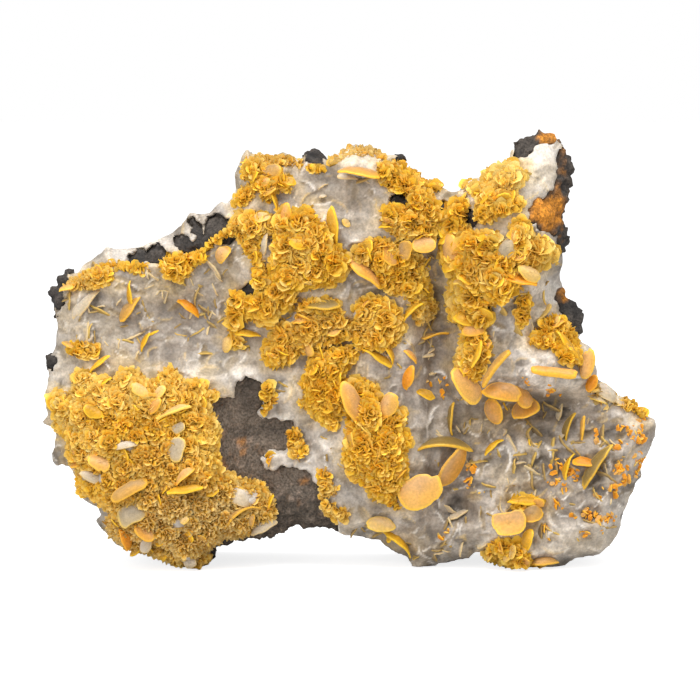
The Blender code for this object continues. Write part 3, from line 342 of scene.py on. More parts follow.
# Large blades of each CAD node, and under "" the smaller ones that no node holds: (column, row, length,
# width, direction, swing, metres out, tint, pointed). Lengths are in grid steps and angles in degrees.
BLADES = {
    "blade_top_shelf": [(360, 171, 44, 24, -8, 74, 0.0014, "amber", 0.1)],
    "rosettes_top_left": [
        (271, 172, 22, 18, 25, 30, 0.0016, "tan", -0.1),
        (288, 181, 17, 11, -10, 40, 0.0018, "gold", 0.2),
        (275, 200, 27, 9, -72, 70, 0.0012, "gold", 0.6),
    ],
    "rosettes_middle": [
        (286, 214, 26, 13, 84, 25, 0.0022, "amber", 0.8),
        (299, 241, 20, 15, -20, 30, 0.0034, "gold", 0.1),
        (249, 333, 28, 11, -8, 60, 0.0016, "gold", 0.4),
        (236, 323, 25, 10, 88, 60, 0.0018, "gold", 0.4),
        (227, 344, 18, 12, 75, 30, 0.0014, "cream", -0.2),
    ],
    "blade_spindle": [(333, 225, 42, 14, 98, 35, 0.0012, "gold", 0.8)],
    "rosettes_gully": [
        (364, 270, 46, 20, -37, 55, 0.0018, "amber", 0.7),
        (389, 255, 24, 15, -60, 40, 0.0026, "amber", 0.0),
    ],
    "rosettes_top_right": [
        (423, 243, 25, 17, 6, 26, 0.0036, "peach", -0.2),
        (404, 249, 22, 18, 88, 24, 0.0030, "tan", -0.3),
    ],
    "rosettes_ridge": [
        (450, 248, 34, 20, 104, 34, 0.0034, "peach", -0.1),
        (450, 264, 20, 13, 30, 30, 0.0036, "gold", 0.1),
        (527, 270, 27, 16, -32, 25, 0.0036, "cream", 0.1),
        (518, 277, 38, 16, -10, 60, 0.0026, "orange", 0.6),
        (505, 246, 30, 18, 60, 20, 0.0022, "grey", 0.4),
        (466, 317, 28, 16, -10, 35, 0.0030, "gold", 0.1),
        (473, 328, 24, 15, 6, 30, 0.0026, "amber", 0.1),
    ],
    "rosettes_ridge_foot": [
        (475, 352, 30, 9, 70, 60, 0.0034, "gold", 0.3),
        (465, 382, 42, 26, -52, 34, 0.0030, "peach", -0.2),
    ],
    "blade_feather": [(493, 364, 46, 10, 53, 60, 0.0030, "tan", -0.7)],
    "blade_ledge_lens": [(502, 389, 41, 21, -9, 30, 0.0046, "amber", 0.1)],
    "": [
        (523, 396, 27, 20, -60, 34, 0.0036, "amber", 0.0),
        (591, 382, 20, 12, 62, 30, 0.0024, "orange", 0.1),
        (399, 543, 39, 14, -42, 62, 0.0016, "gold", 0.7),
        (130, 293, 25, 9, 95, 60, 0.0010, "gold", 0.6),
        (144, 342, 21, 9, 65, 60, 0.0009, "gold", 0.5),
        (99, 363, 31, 8, 42, 74, 0.0012, "gold", 0.6),
        (71, 345, 20, 9, -20, 60, 0.0010, "tan", 0.3),
        (389, 351, 27, 10, -61, 64, 0.0016, "gold", 0.5),
        (411, 355, 22, 9, -47, 60, 0.0014, "amber", 0.4),
        (425, 394, 22, 11, -20, 40, 0.0020, "gold", 0.2),
        (451, 420, 37, 9, 88, 68, 0.0014, "olive", 0.4),
        (493, 446, 27, 9, 40, 66, 0.0014, "gold", 0.6),
        (568, 430, 37, 11, 75, 62, 0.0018, "olive", 0.5),
        (583, 431, 33, 8, 88, 72, 0.0014, "tan", 0.5),
        (595, 463, 54, 15, 56, 48, 0.0020, "olive", 0.6),
        (567, 465, 29, 9, 71, 66, 0.0014, "gold", 0.5),
        (586, 461, 29, 14, -10, 55, 0.0018, "orange", 0.3),
        (420, 278, 46, 10, 76, 66, 0.0020, "olive", 0.7),
        (410, 311, 30, 9, 48, 66, 0.0018, "gold", 0.7),
        (427, 338, 46, 10, 14, 66, 0.0016, "tan", 0.5),
        (84, 304, 40, 14, 48, 42, 0.0004, "coated", 0.4),
        (621, 402, 18, 10, -30, 45, 0.0012, "coated", 0.0),
        (600, 400, 20, 9, -20, 55, 0.0014, "grey", 0.1),
        (348, 176, 22, 12, -6, 60, 0.0004, "coated", 0.0),
        (346, 222, 11, 7, -45, 25, 0.0006, "cream", 0.3),
    ],
    "blade_ledge_petal": [(525, 409, 30, 23, 24, 36, 0.0044, "amber", -0.1)],
    "blade_ledge_tongue": [(493, 411, 31, 19, 108, 24, 0.0046, "amber", 0.0)],
    "blade_ledge_bar": [(552, 368, 58, 15, -6, 62, 0.0034, "amber", -0.8)],
    "blade_right_edge": [(587, 363, 34, 17, 78, 22, 0.0028, "peach", -0.5)],
    "rosettes_right_edge": [
        (565, 340, 28, 12, -55, 60, 0.0028, "gold", 0.4),
        (570, 347, 27, 11, -57, 60, 0.0026, "tan", 0.4),
        (575, 354, 24, 10, -55, 60, 0.0024, "gold", 0.4),
    ],
    "hollow_blades": [
        (441, 444, 60, 24, 4, 74, 0.0022, "olive", 0.2),
        (453, 466, 46, 25, 58, -38, 0.0030, "amber", 0.1),
    ],
    "blade_broad_plate": [(420, 489, 45, 37, 30, 12, 0.0044, "peach", -0.35)],
    "blade_pale": [(381, 525, 29, 17, -8, 22, 0.0026, "cream", 0.1)],
    "bottom_blades": [
        (508, 521, 37, 28, 4, 16, 0.0040, "peach", -0.5),
        (532, 513, 24, 17, 20, 26, 0.0026, "tan", -0.2),
    ],
    "rosettes_foot": [
        (527, 538, 22, 13, 75, 30, 0.0024, "gold", 0.1),
        (524, 500, 33, 12, 0, 62, 0.0022, "gold", 0.5),
        (545, 563, 30, 10, 3, 40, 0.0012, "peach", 0.3),
    ],
    "rosettes_lower_left": [
        (129, 486, 47, 18, 30, 28, 0.0042, "tan", -0.35),
        (145, 529, 24, 15, -40, 25, 0.0036, "amber", 0.1),
        (126, 537, 27, 13, -70, 30, 0.0034, "orange", 0.3),
        (102, 459, 26, 17, -20, 34, 0.0038, "peach", -0.3),
        (53, 404, 20, 12, -60, 30, 0.0030, "gold", 0.1),
        (95, 408, 22, 14, -30, 30, 0.0040, "gold", 0.1),
        (142, 386, 22, 13, -30, 34, 0.0036, "cream", -0.3),
        (156, 402, 22, 12, 50, 30, 0.0040, "amber", 0.3),
        (172, 409, 42, 10, 27, 70, 0.0036, "cream", 0.6),
        (186, 470, 26, 10, 42, 35, 0.0040, "peach", 0.4),
        (186, 484, 36, 12, 8, 62, 0.0038, "gold", 0.3),
        (134, 511, 30, 22, 18, 14, 0.0036, "grey", -0.9),
        (179, 444, 28, 19, 70, 18, 0.0034, "grey", -0.5),
        (180, 424, 14, 11, 30, 26, 0.0034, "grey", -0.8),
        (128, 441, 24, 9, 12, 40, 0.0032, "coated", 0.0),
        (94, 474, 28, 12, -25, 34, 0.0032, "coated", 0.1),
        (240, 495, 31, 19, -25, 16, 0.0028, "coated", -0.7),
        (262, 528, 30, 12, 28, 30, 0.0026, "coated", 0.2),
        (146, 543, 20, 12, 80, 14, 0.0034, "coated", -0.6),
        (190, 563, 14, 12, 20, 10, 0.0036, "coated", -0.3),
        (161, 389, 17, 10, 55, 35, 0.0036, "cream", -0.2),
        (240, 512, 44, 6, 28, 70, 0.0034, "tan", 0.2),
        (252, 520, 14, 7, 80, 20, 0.0036, "tan", -0.5),
        (186, 516, 10, 7, 30, 25, 0.0046, "cream", 0.0),
    ],
    "blade_panel_lens": [(189, 307, 30, 12, -39, 50, 0.0012, "orange", 0.5)],
    "blade_panel_wing": [(129, 308, 36, 14, 55, 42, 0.0010, "tan", 0.5)],
    "rosettes_middle_left": [
        (223, 254, 19, 14, 60, 28, 0.0014, "peach", -0.2),
        (265, 243, 24, 9, 82, 55, 0.0018, "coated", 0.1),
        (262, 217, 18, 11, 10, 30, 0.0024, "cream", 0.1),
    ],
    "rosettes_middle_low": [(324, 303, 35, 16, 3, 55, 0.0022, "olive", 0.4)],
    "rosettes_lower_middle": [
        (352, 399, 45, 21, -68, 24, 0.0038, "amber", 0.3),
        (388, 402, 26, 18, 65, 20, 0.0034, "peach", 0.0),
    ],
    "blade_gully_petal": [(408, 377, 26, 13, 75, 30, 0.0026, "orange", 0.3)],
    "blade_column_petal": [(378, 356, 37, 12, -31, 64, 0.0016, "gold", 0.6)],
    "blade_right_corner": [(607, 393, 26, 15, -35, 30, 0.0016, "coated", -0.3)],
}

# Where small dull blades are half buried in the crust: (column, row, half width, half height, how many).
BURIED_ZONES = [
    (160, 315, 70, 42, 44), (90, 320, 34, 30, 16), (205, 290, 30, 30, 16), (330, 190, 40, 26, 4),
    (420, 320, 18, 70, 30), (470, 430, 36, 34, 22), (545, 430, 64, 26, 30), (560, 490, 76, 56, 56),
    (400, 535, 60, 26, 24), (450, 520, 44, 40, 22), (520, 320, 30, 40, 10), (360, 360, 40, 16, 8),
    (70, 445, 16, 24, 6), (300, 370, 26, 26, 6), (330, 455, 14, 30, 6), (545, 215, 14, 30, 4),
]

# Tiny orange crystals: (column, row, half width, half height, how many).
SPECK_ZONES = [
    (630, 452, 15, 26, 70), (563, 492, 9, 18, 22), (600, 521, 17, 10, 46), (605, 494, 10, 9, 16),
    (552, 538, 8, 11, 6), (565, 505, 10, 8, 12), (620, 478, 8, 10, 14), (557, 465, 6, 8, 8),
    (597, 436, 6, 5, 6), (450, 533, 4, 4, 4), (470, 480, 8, 14, 10), (543, 384, 18, 11, 16),
    (432, 390, 13, 14, 12), (586, 480, 20, 16, 10), (640, 430, 10, 12, 12),
]

# Rusty matrix: (column, row, half width, half height, strength).
RUST_SPOTS = [
    (546, 212, 20, 18, 0.95), (561, 162, 7, 16, 0.60), (549, 138, 12, 7, 0.55), (561, 296, 8, 12, 0.55),
    (566, 240, 6, 10, 0.25), (240, 470, 30, 40, 0.16), (300, 500, 30, 30, 0.14), (562, 188, 10, 12, 0.30),
    (560, 222, 12, 16, 0.35),
]

# Charcoal lobes in the window: (column, row, half width, half height, strength).
CHARCOAL_SPOTS = [
    (249, 396, 14, 20, 0.95), (278, 431, 19, 11, 0.95), (246, 434, 12, 8, 0.8), (262, 468, 6, 14, 0.6),
    (222, 412, 8, 16, 0.45), (310, 480, 8, 12, 0.5), (282, 465, 4, 5, 1.0), (270, 520, 24, 8, 0.5),
]

# Whiter crust: (column, row, half width, half height, strength).
WHITE_SPOTS = [
    (545, 168, 18, 26, 1.0), (205, 370, 46, 12, 0.45), (150, 250, 60, 12, 0.5), (235, 205, 16, 26, 0.6),
    (243, 372, 16, 8, 0.9), (320, 291, 28, 12, 0.8), (345, 210, 34, 30, 0.4), (285, 405, 22, 26, 0.8),
    (268, 448, 26, 12, 0.9), (300, 462, 24, 10, 0.7), (225, 470, 12, 8, 0.9), (360, 165, 30, 12, 0.7),
    (62, 380, 16, 24, 0.45), (470, 220, 14, 30, 0.5), (535, 310, 28, 36, 0.8), (545, 348, 36, 14, 0.9),
    (556, 386, 26, 9, 0.6), (560, 545, 60, 22, 0.4), (350, 530, 40, 16, 0.5), (115, 255, 30, 10, 0.6),
    (255, 225, 14, 14, 0.6), (240, 500, 24, 14, 0.5), (330, 440, 12, 30, 0.5),
]

# Browner crust, and painted shade in the face's hollows, in the gully and under the ledge: (column, row, half
# width, half height, strength).
BROWN_AND_SHADE_SPOTS = [
    (437, 340, 20, 84, 0.9), (520, 418, 60, 20, 0.7), (470, 430, 36, 30, 0.7), (548, 404, 18, 12, 1.0),
    (170, 320, 66, 44, 0.45), (440, 500, 30, 40, 0.5), (590, 440, 50, 30, 0.45), (560, 480, 70, 40, 0.35),
    (330, 195, 40, 16, 0.35), (130, 358, 76, 10, 0.40), (520, 480, 40, 20, 0.35), (545, 505, 30, 14, 0.4),
    (475, 500, 14, 24, 0.6), (60, 440, 12, 30, 0.5), (400, 540, 30, 20, 0.45),
]

# The stage: how much brighter the floor looks than the light on it makes it, the even light, and the lamps
# as name: (place, aim, size, watts).
FLOOR_GLOW = 0.80
FLOOR_GREY = (0.60, 0.60, 0.60, 1)
WHITE_LIGHT = (1, 1, 1, 1)
SKY_STRENGTH = 0.56
LAMPS = {
    "softbox_above": ((0.05, -0.25, 0.75), (0.02, 0, 0.04), 0.6, 6.2),
    "softbox_front": ((-0.45, -0.75, 0.35), (0, 0, 0.04), 0.5, 3.0),
}

# Colours of the crust, the rock and the fins, linear.
CRUST_WHITE = np.array((0.79, 0.735, 0.665))
CRUST_GREY = np.array((0.38, 0.330, 0.278))
CRUST_BROWN = np.array((0.165, 0.125, 0.088))
CRUST_STAIN = np.array((0.76, 0.54, 0.22))
CRUST_TAWNY = np.array((0.56, 0.42, 0.23))
MOUND_SHADOW = np.array((0.42, 0.28, 0.09))
ROCK_DARK = np.array((0.042, 0.038, 0.036))
ROCK_BROWN = np.array((0.185, 0.145, 0.110))
ROCK_RUST = np.array((0.78, 0.30, 0.03))
ROCK_SPECK = np.array((0.34, 0.25, 0.19))
# The fins' root colour is painted shade between the fins.
FIN_ROOT_SHADE = np.array((0.16, 0.080, 0.008))
FIN_BODY = np.array((0.98, 0.525, 0.022))
# The fins' rim colour is their yellow with a painted highlight.
FIN_RIM_AND_HIGHLIGHT = np.array((1.00, 0.625, 0.045))
FIN_PALE = np.array((1.00, 0.76, 0.25))
FIN_DULL = np.array((0.74, 0.57, 0.27))

# Blades drowned in the crust, drawn as soft lenses: a darker body, partly the blade's tone and partly painted
# shade in the dip over it, and a lighter edge, partly the blade's rim and partly a painted highlight on its
# bank: (colour, share of them).
LENS_BODIES_AND_SHADE = [
    (np.array((0.16, 0.128, 0.096)), 0.40), (np.array((0.28, 0.240, 0.200)), 0.35),
    (np.array((0.32, 0.225, 0.105)), 0.25),
]
LENS_EDGES_AND_HIGHLIGHT = [
    (np.array((0.84, 0.79, 0.72)), 0.50), (np.array((0.60, 0.40, 0.11)), 0.26),
    (np.array((0.52, 0.42, 0.29)), 0.24),
]
LENS_COUNT = 1500
LENS_LENGTHS = (0.0016, 0.0062)
LENS_WIDTHS = (0.00045, 0.0013)
LENS_SINK, LENS_EDGE_RISE = 0.00022, 0.00034

# Where the fins are paler, and where they are duller: (column, row, half width, half height, strength).
PALE_SPOTS = [
    (130, 386, 84, 22, 0.8), (76, 402, 26, 32, 0.5), (205, 425, 16, 55, 0.6), (250, 220, 30, 12, 0.4),
    (500, 180, 34, 22, 0.8), (540, 250, 20, 20, 0.5), (385, 310, 20, 20, 0.2), (88, 440, 20, 20, 0.4),
]
DULL_SPOTS = [
    (190, 522, 95, 44, 0.9), (122, 540, 32, 32, 0.9), (352, 156, 44, 12, 0.9), (602, 396, 26, 22, 0.9),
    (425, 340, 30, 30, 0.6), (300, 325, 40, 30, 0.25), (340, 500, 20, 30, 0.3), (150, 460, 50, 24, 0.35),
    (282, 162, 30, 8, 0.5), (76, 282, 22, 10, 0.6),
]

# Where the crust is roughest: (column, row, half width, half height, strength).
ROUGH_SPOTS = [
    (560, 480, 110, 80, 1.0), (437, 340, 34, 90, 0.8), (430, 530, 90, 44, 0.8), (545, 380, 60, 40, 0.8),
    (325, 380, 40, 40, 0.5), (60, 430, 20, 60, 0.6), (120, 290, 60, 40, 0.5), (360, 160, 40, 20, 0.5),
]

# How the crust and the matrix meet: how soft a gap's edge is in the crust (at a hole and at the silhouette)
# and in the rock, how much wider the gap is in the rock, how far the crust's edge dives at a gap, how far
# behind the face the matrix lies in a gap and in the window, and how far it stays inside the crust's outline.
HOLE_BLUR, EDGE_BLUR, GAP_BLUR = 0.0007, 0.0010, 0.0008
GAP_EARLY, EDGE_EARLY = 0.0007, 0.0009
HOLE_SINK = 0.0045
GAP_FLOOR, WINDOW_FLOOR = 0.0007, 0.0018
MATRIX_SHY = 0.0011

# Half buried blades: the bank of crust along each, and how much of its rim shows.
RIDGE_HEIGHT = 0.00045
RIDGE_WIDTH = 0.00060
RIM_SHOWING = 0.00048

# Tints of the small blades, and how much bigger some specks are: name or times as big, and share of them.
BURIED_TINTS = {"shaded": 0.38, "coated": 0.28, "sunk": 0.30, "gold": 0.04}
SPECK_TINTS = {"orange": 0.66, "amber": 0.22, "peach": 0.12}
SPECK_SIZE_MIX = {1: 0.8, 1.5: 0.2}
PETAL_TINTS = {"gold": 0.58, "amber": 0.16, "peach": 0.08, "cream": 0.12, "tan": 0.06}

# Plates: their thickness, their bend, cup and twist as shares of their length or width (usual, spread), the
# corners of an outline, and how finely the small ones are made.
PLATE_THICKNESS = 0.00044
PLATE_BEND, PLATE_CUP, PLATE_TWIST = (0.12, 0.06), (0.10, 0.08), (0, 0.05)
OUTLINE_CORNERS = 9
SMALL_PLATE = {"sides": 12, "rings": 4}
SPECK_PLATE = {"sides": 6, "rings": 4}

# Small plates: length in grid steps, swing in degrees, how far out they stand, how far inside the silhouette
# and how far from a gap they stay, and the square grid steps for each petal. Specks come in clusters: how many
# together, and how many grid steps apart.
BURIED_SHORTEST, BURIED_LONGER, BURIED_SWINGS = 8, 26, (48, 86)
BURIED_FROM_EDGE, BURIED_FROM_GAP = 0.0014, 0.0008
PETAL_LENGTHS, PETAL_SWINGS, PETAL_OUT = (9, 18), (35, 82), (0.0016, 0.0028)
STEPS_PER_PETAL = 380
SPECK_SIZES, SPECK_SWINGS, SPECK_OUT = (3.0, 7.5), (-20, 80), (0.0001, 0.0007)
SPECK_FROM_EDGE = 0.0006
SPECKS_TOGETHER, SPECK_SCATTER = 5, 2.8

# Seeds of the random draws.
LENS_SEED, BURIED_SEED, BLADE_SEED, SMALL_ROSETTE_SEED = 31, 8, 5, 77

# Looks: (roughness, subsurface weight, its radii, depth and size of the bumps, strength of the mottle).
SHEEN = 0.30
LOOKS = {
    "quartz_crust_look": (0.52, 0.25, (0.0009, 0.0008, 0.0006), 0.00014, 0.0010, 0.16),
    "matrix_rock_look": (0.72, 0.0, (0.001, 0.001, 0.001), 0.0009, 0.0009, 0.42),
    "rosettes_look": (0.40, 0.0, (0.0005, 0.0003, 0.0001), 0.00003, 0.0006, 0.10),
    "blades_look": (0.40, 0.10, (0.0008, 0.0004, 0.0002), 0.00005, 0.0010, 0.10),
}

# The camera, level with the specimen and a little above.
CAMERA_TARGET = Vector((-0.0002, -0.008, 0.0442))
CAMERA_DISTANCE = 0.70
CAMERA_ELEVATION = math.radians(5)
CAMERA_LENS = 180


def on_face(points):
    """Grid points as (x, z) in metres."""
    plotted = np.array(points, float)
    return np.stack([plotted[:, 0] - CENTRE_COLUMN, GROUND_ROW - plotted[:, 1]], axis=1) * GRID_STEP


def inset(xz, outline):
    """How far each (x, z) is inside the outline, in metres, negative outside."""
    corners = on_face(outline)
    following = np.roll(corners, -1, axis=0)
    nearest = np.full(len(xz), np.inf)
    crossings = np.zeros(len(xz), int)
    for start, end in zip(corners, following):
        run = end - start
        along = np.clip(((xz - start) @ run) / (run @ run), 0, 1)
        nearest = np.minimum(nearest, np.linalg.norm(xz - start - along[:, None] * run, axis=1))
        spans = (start[1] > xz[:, 1]) != (end[1] > xz[:, 1])
        if run[1] != 0:
            crossings += spans & (xz[:, 0] < start[0] + (xz[:, 1] - start[1]) * run[0] / run[1])
    return np.where(crossings % 2 == 1, nearest, -nearest)


def inset_any(xz, outlines):
    """The same for the outline that each (x, z) is deepest in."""
    deepest = np.full(len(xz), -np.inf)
    for outline in outlines:
        deepest = np.maximum(deepest, inset(xz, outline))
    return deepest


def smooth_step(value):
    value = np.clip(value, 0, 1)
    return value * value * (3 - 2 * value)


def corner_value(cell, seed):
    """A repeatable random number from -1 to 1 for each corner of a lattice."""
    mixed = (cell[:, 0] * 374761393 + cell[:, 1] * 668265263 + cell[:, 2] * 2147483647 + seed * 974634777)
    mixed = (mixed ^ (mixed >> 13)) * 1274126177
    mixed = mixed ^ (mixed >> 16)
    return (mixed & 0xFFFFF) / 0x7FFFF - 1


def lumps(points, size, seed):
    """Smooth noise from -1 to 1 with lumps of the given size."""
    scaled = points / size + seed * 7.31
    cell = np.floor(scaled).astype(np.int64)
    part = scaled - cell
    part = part * part * (3 - 2 * part)
    total = np.zeros(len(points))
    for i in (0, 1):
        for j in (0, 1):
            for k in (0, 1):
                share = np.abs(1 - i - part[:, 0]) * np.abs(1 - j - part[:, 1]) * np.abs(1 - k - part[:, 2])
                total += share * corner_value(cell + (i, j, k), seed)
    return total


def noise(points, layers):
    """The sum of layers of noise, each (height, size of its lumps, seed)."""
    return sum(height * lumps(points, size, seed) for height, size, seed in layers)


def knobbly_noise(points, layers):
    """The same, with every hollow turned into a knob."""
    return sum(height * np.abs(lumps(points, size, seed)) for height, size, seed in layers)


def flat_points(xz):
    return np.column_stack([xz[:, 0], np.zeros(len(xz)), xz[:, 1]])


def soft_distance(xz, column, row, half_width, half_height):
    """How far each (x, z) is from a grid spot, as a share of the spot's half width and half height."""
    centre = on_face([(column, row)])[0]
    return np.linalg.norm((xz - centre) / (np.array([half_width, half_height]) * GRID_STEP), axis=1)


def spots(xz, listed):
    """The strongest of the listed soft spots at each (x, z)."""
    strength = np.zeros(len(xz))
    for *place, most in listed:
        strength = np.maximum(strength, most * smooth_step(1.35 - soft_distance(xz, *place) * 0.9))
    return strength


def face_relief(xz):
    """How far the crust's face stands in front of the origin, before its fine roughness."""
    relief = np.full(len(xz), FRONT_DEPTH)
    for *place, rise in SWELLS:
        relief += rise * smooth_step(1.15 - soft_distance(xz, *place) * 0.85)
    rim = 1 - np.clip(inset(xz, SILHOUETTE) / RIM_WIDTH, 0, 1)
    relief -= RIM_DROP * rim ** 2.2
    return relief + noise(flat_points(xz), FACE_LUMPS)


def pulled_in(xz):
    """The same points, with those along the silhouette drawn in towards the middle."""
    inward = on_face([FACE_MIDDLE])[0] - xz
    inward /= np.linalg.norm(inward, axis=1)[:, None]
    near = smooth_step(1 - inset(xz, SILHOUETTE) / EDGE_PULL)
    return xz + inward * (EDGE_PULL * near)[:, None]


def gap_share(xz, outlines, blur, early=0.0):
    """1 inside the gaps in the crust, 0 outside, with a ragged edge that starts this early."""
    ragged = noise(flat_points(xz), GAP_EDGE)
    return smooth_step((inset_any(xz, outlines) + ragged + early) / blur + 0.5)


def weld(mesh):
    welder = bmesh.new()
    welder.from_mesh(mesh)
    bmesh.ops.remove_doubles(welder, verts=welder.verts, dist=1e-6)
    bmesh.ops.recalc_face_normals(welder, faces=welder.faces)
    welder.to_mesh(mesh)
    welder.free()


def evaluated_mesh(obj):
    bpy.context.view_layer.update()
    return bpy.data.meshes.new_from_object(obj.evaluated_get(bpy.context.evaluated_depsgraph_get()))


def plain_slab(name, outlines, cell, depth=SLAB_DEPTH):
    """Slabs of even squares under the outlines, from y = 0 at the front to the depth, as one object."""
    curve = bpy.data.curves.new(name, "CURVE")
    curve.dimensions = "2D"
    curve.fill_mode = "BOTH"
    curve.extrude = depth / 2
    for outline in outlines:
        corners = on_face(outline)
        spline = curve.splines.new("POLY")
        spline.points.add(len(corners) - 1)
        for point, (x, z) in zip(spline.points, corners):
            point.co = (x, z, 0, 1)
        spline.use_cyclic_u = True
    drawn = bpy.data.objects.new(name + "_drawn", curve)
    bpy.context.scene.collection.objects.link(drawn)
    drawn.rotation_euler.x = math.pi / 2
    drawn.location.y = depth / 2
    mesh = evaluated_mesh(drawn)
    mesh.transform(drawn.matrix_world)
    bpy.data.objects.remove(drawn)
    weld(mesh)
    slab = bpy.data.objects.new(name, mesh)
    bpy.context.scene.collection.objects.link(slab)
    squares = slab.modifiers.new("squares", "REMESH")
    squares.mode = "VOXEL"
    squares.voxel_size = cell
    moulded = evaluated_mesh(slab)
    slab.modifiers.clear()
    slab.data = moulded
    return slab


def vertex_rows(mesh, what="co"):
    """The place or the normal of each vertex, as rows of three."""
    flat = np.empty(len(mesh.vertices) * 3, np.float32)
    mesh.vertices.foreach_get(what, flat)
    return flat.reshape(-1, 3).astype(float)


def slab_points(slab, depth):
    """A plain slab's points, how far through it each is (0 at the front, 1 at the back), and its (x, z)."""
    points = vertex_rows(slab.data)
    return points, np.clip(points[:, 1] / depth, 0, 1), points[:, [0, 2]]


def move_points(mesh, points):
    mesh.vertices.foreach_set("co", points.astype(np.float32).ravel())
    mesh.update()


def paint(mesh, colours):
    """Stores a linear colour for each vertex."""
    layer = mesh.color_attributes.new("tint", "FLOAT_COLOR", "POINT")
    rgba = np.column_stack([np.clip(colours, 0, 1), np.ones(len(colours))])
    layer.data.foreach_set("color", rgba.astype(np.float32).ravel())


def blend_colours(first, second, share):
    share = np.clip(share, 0, 1)[:, None]
    return first * (1 - share) + second * share


def lay_colours(colours, layers):
    """The colours with each (colour, share) laid over them in turn."""
    for colour, share in layers:
        colours = blend_colours(colours, colour, share)
    return colours


def rock_back(xz, depth_in):
    """How far back the broken slab reaches: deepest at its foot, so that it stands."""
    height = xz[:, 1]
    back = BASE_DEPTH + (TOP_DEPTH - BASE_DEPTH) * np.clip(height / height.max(), 0, 1)
    back -= BACK_BEVEL * (1 - np.clip(depth_in / BACK_BEVEL_WIDTH, 0, 1)) ** 2 * (height > FLAT_FOOT)
    return back + noise(flat_points(xz), BACK_LUMPS)


def build_matrix(material):
    """The ironstone slab, rough and black with rusty patches."""
    slab = plain_slab("matrix_rock", [SILHOUETTE], MATRIX_CELL)
    points, through, xz = slab_points(slab, SLAB_DEPTH)
    depth_in = inset(xz, SILHOUETTE)
    bare = gap_share(pulled_in(xz), BARE_EDGES, EDGE_BLUR, EDGE_EARLY)
    druse = gap_share(xz, DRUSE_GAPS, GAP_BLUR, GAP_EARLY)
    opened = gap_share(xz, WINDOW, GAP_BLUR, GAP_EARLY)
    gap = np.maximum(bare, druse)
    floor = CRUST_THICKNESS + (WINDOW_FLOOR - CRUST_THICKNESS) * opened
    floor += (GAP_FLOOR - floor) * gap
    front = face_relief(xz) - floor
    points[:, 1] = -front + (front + rock_back(xz, depth_in)) * through
    side = 4 * through * (1 - through)
    wobble = [noise(points, [layer]) * side for layer in SIDE_WOBBLE]
    points[:, 0] += wobble[0] - BACK_NARROWING * through * xz[:, 0]
    points[:, 2] += wobble[1] * smooth_step(xz[:, 1] / 0.006)
    points[:, 2] -= BACK_LEAN * through * np.maximum(xz[:, 1] - LEAN_FROM, 0)
    grain = noise(points, ROCK_GRAIN)
    knobs = knobbly_noise(points, ROCK_KNOBS) - 0.0004
    worn = BACK_WEAR * through ** 1.5 * (0.6 + 0.6 * lumps(points, 0.011, 19))
    broken = knobbly_noise(points, ROCK_BREAKS) * smooth_step(3 * through - 1)
    edging = noise(points, ROCK_FRACTURE) * smooth_step(2.5 * through) - worn
    edging -= MATRIX_SHY * (1 - through) * (1 - bare)
    edging = np.minimum(edging, 0.0012 * bare - 0.0009)
    normals = vertex_normals(slab.data, points)
    sideways = np.clip(1 - np.abs(normals[:, 1]), 0, 1) * smooth_step(xz[:, 1] / 0.004)
    points += normals * (grain + knobs * gap + sideways * edging - broken)[:, None]
    points[:, 2] = np.maximum(points[:, 2], 0)
    move_points(slab.data, points)
    window = smooth_step(inset_any(xz, WINDOW) / 0.001 + 1.5) * smooth_step(2 - 5 * through)
    paint(slab.data, rock_colours(points, through, xz, window, gap, knobs + grain))
    covered = (through < 0.001) & (depth_in > 0.004) & (bare + druse + window == 0)
    drop_points(slab.data, np.flatnonzero(covered))
    return finish_piece(slab, material, ["matrix"], crisp=False)


def rock_colours(points, through, xz, window, gap, relief):
    """Black to brown, rusty on the right flank and the back, and grey where the crust covers it; in the gaps,
    painted shade in the rock's hollows and painted highlight on its knobs.
    """
    charcoal = spots(xz, CHARCOAL_SPOTS) * window
    rust = spots(xz, RUST_SPOTS) * smooth_step(2 - 5 * through)
    patchy = smooth_step(1.7 * rust - 0.35 + 0.7 * noise(points, RUST_PATCHES)) * smooth_step(4 * rust)
    speck = smooth_step((lumps(points, 0.0008, 14) - 0.45) * 4)
    coat = (1 - gap) * (1 - window) * smooth_step(1.5 - 5 * through + 0.3 * lumps(points, 0.003, 74))
    colours = lay_colours(ROCK_DARK, (
        (ROCK_BROWN, 0.22 + 0.62 * window + 0.25 * lumps(points, 0.006, 11) - 0.34 * charcoal),
        (ROCK_RUST, patchy),
        (ROCK_RUST * 0.6, through * smooth_step(lumps(points, 0.012, 13) - 0.1) * 0.35),
        (ROCK_SPECK, speck * (0.12 + 0.50 * window * (1 - charcoal))),
        (CRUST_GREY, 0.85 * coat),
    ))
    # In the gaps the rock is darker in its hollows and lighter on its knobs: painted shade and painted
    # highlight.
    painted_shade_and_highlight = np.clip(1 - gap * (0.32 - 550 * (relief - 0.0002)), 0.50, 1.25)
    return colours * (painted_shade_and_highlight + 0.20 * lumps(points, 0.0013, 15))[:, None]


def vertex_normals(mesh, points):
    """Outward normals of the mesh at these points."""
    move_points(mesh, points)
    return vertex_rows(mesh, "normal")


def crust_tuck(points, through):
    """How far the crust's sides swell and then draw in towards the rock as they reach back."""
    return noise(points, CRUST_SIDE) * smooth_step(3 * through) - CRUST_TUCK * through ** 2


def crust_roughness(xz, flat):
    """The crust's lumps and creases, roughest where blades have drowned in it."""
    strength = 0.80 + 0.75 * spots(xz, ROUGH_SPOTS)
    creased = 0.5 - np.abs(lumps(flat, 0.0052, 22)) - 0.5 * np.abs(lumps(flat, 0.0028, 33))
    grained = 0.00034 * np.abs(lumps(flat, 0.0012, 23)) + 0.00014 * lumps(flat, 0.0007, 28)
    return strength * (0.0013 * creased + grained)


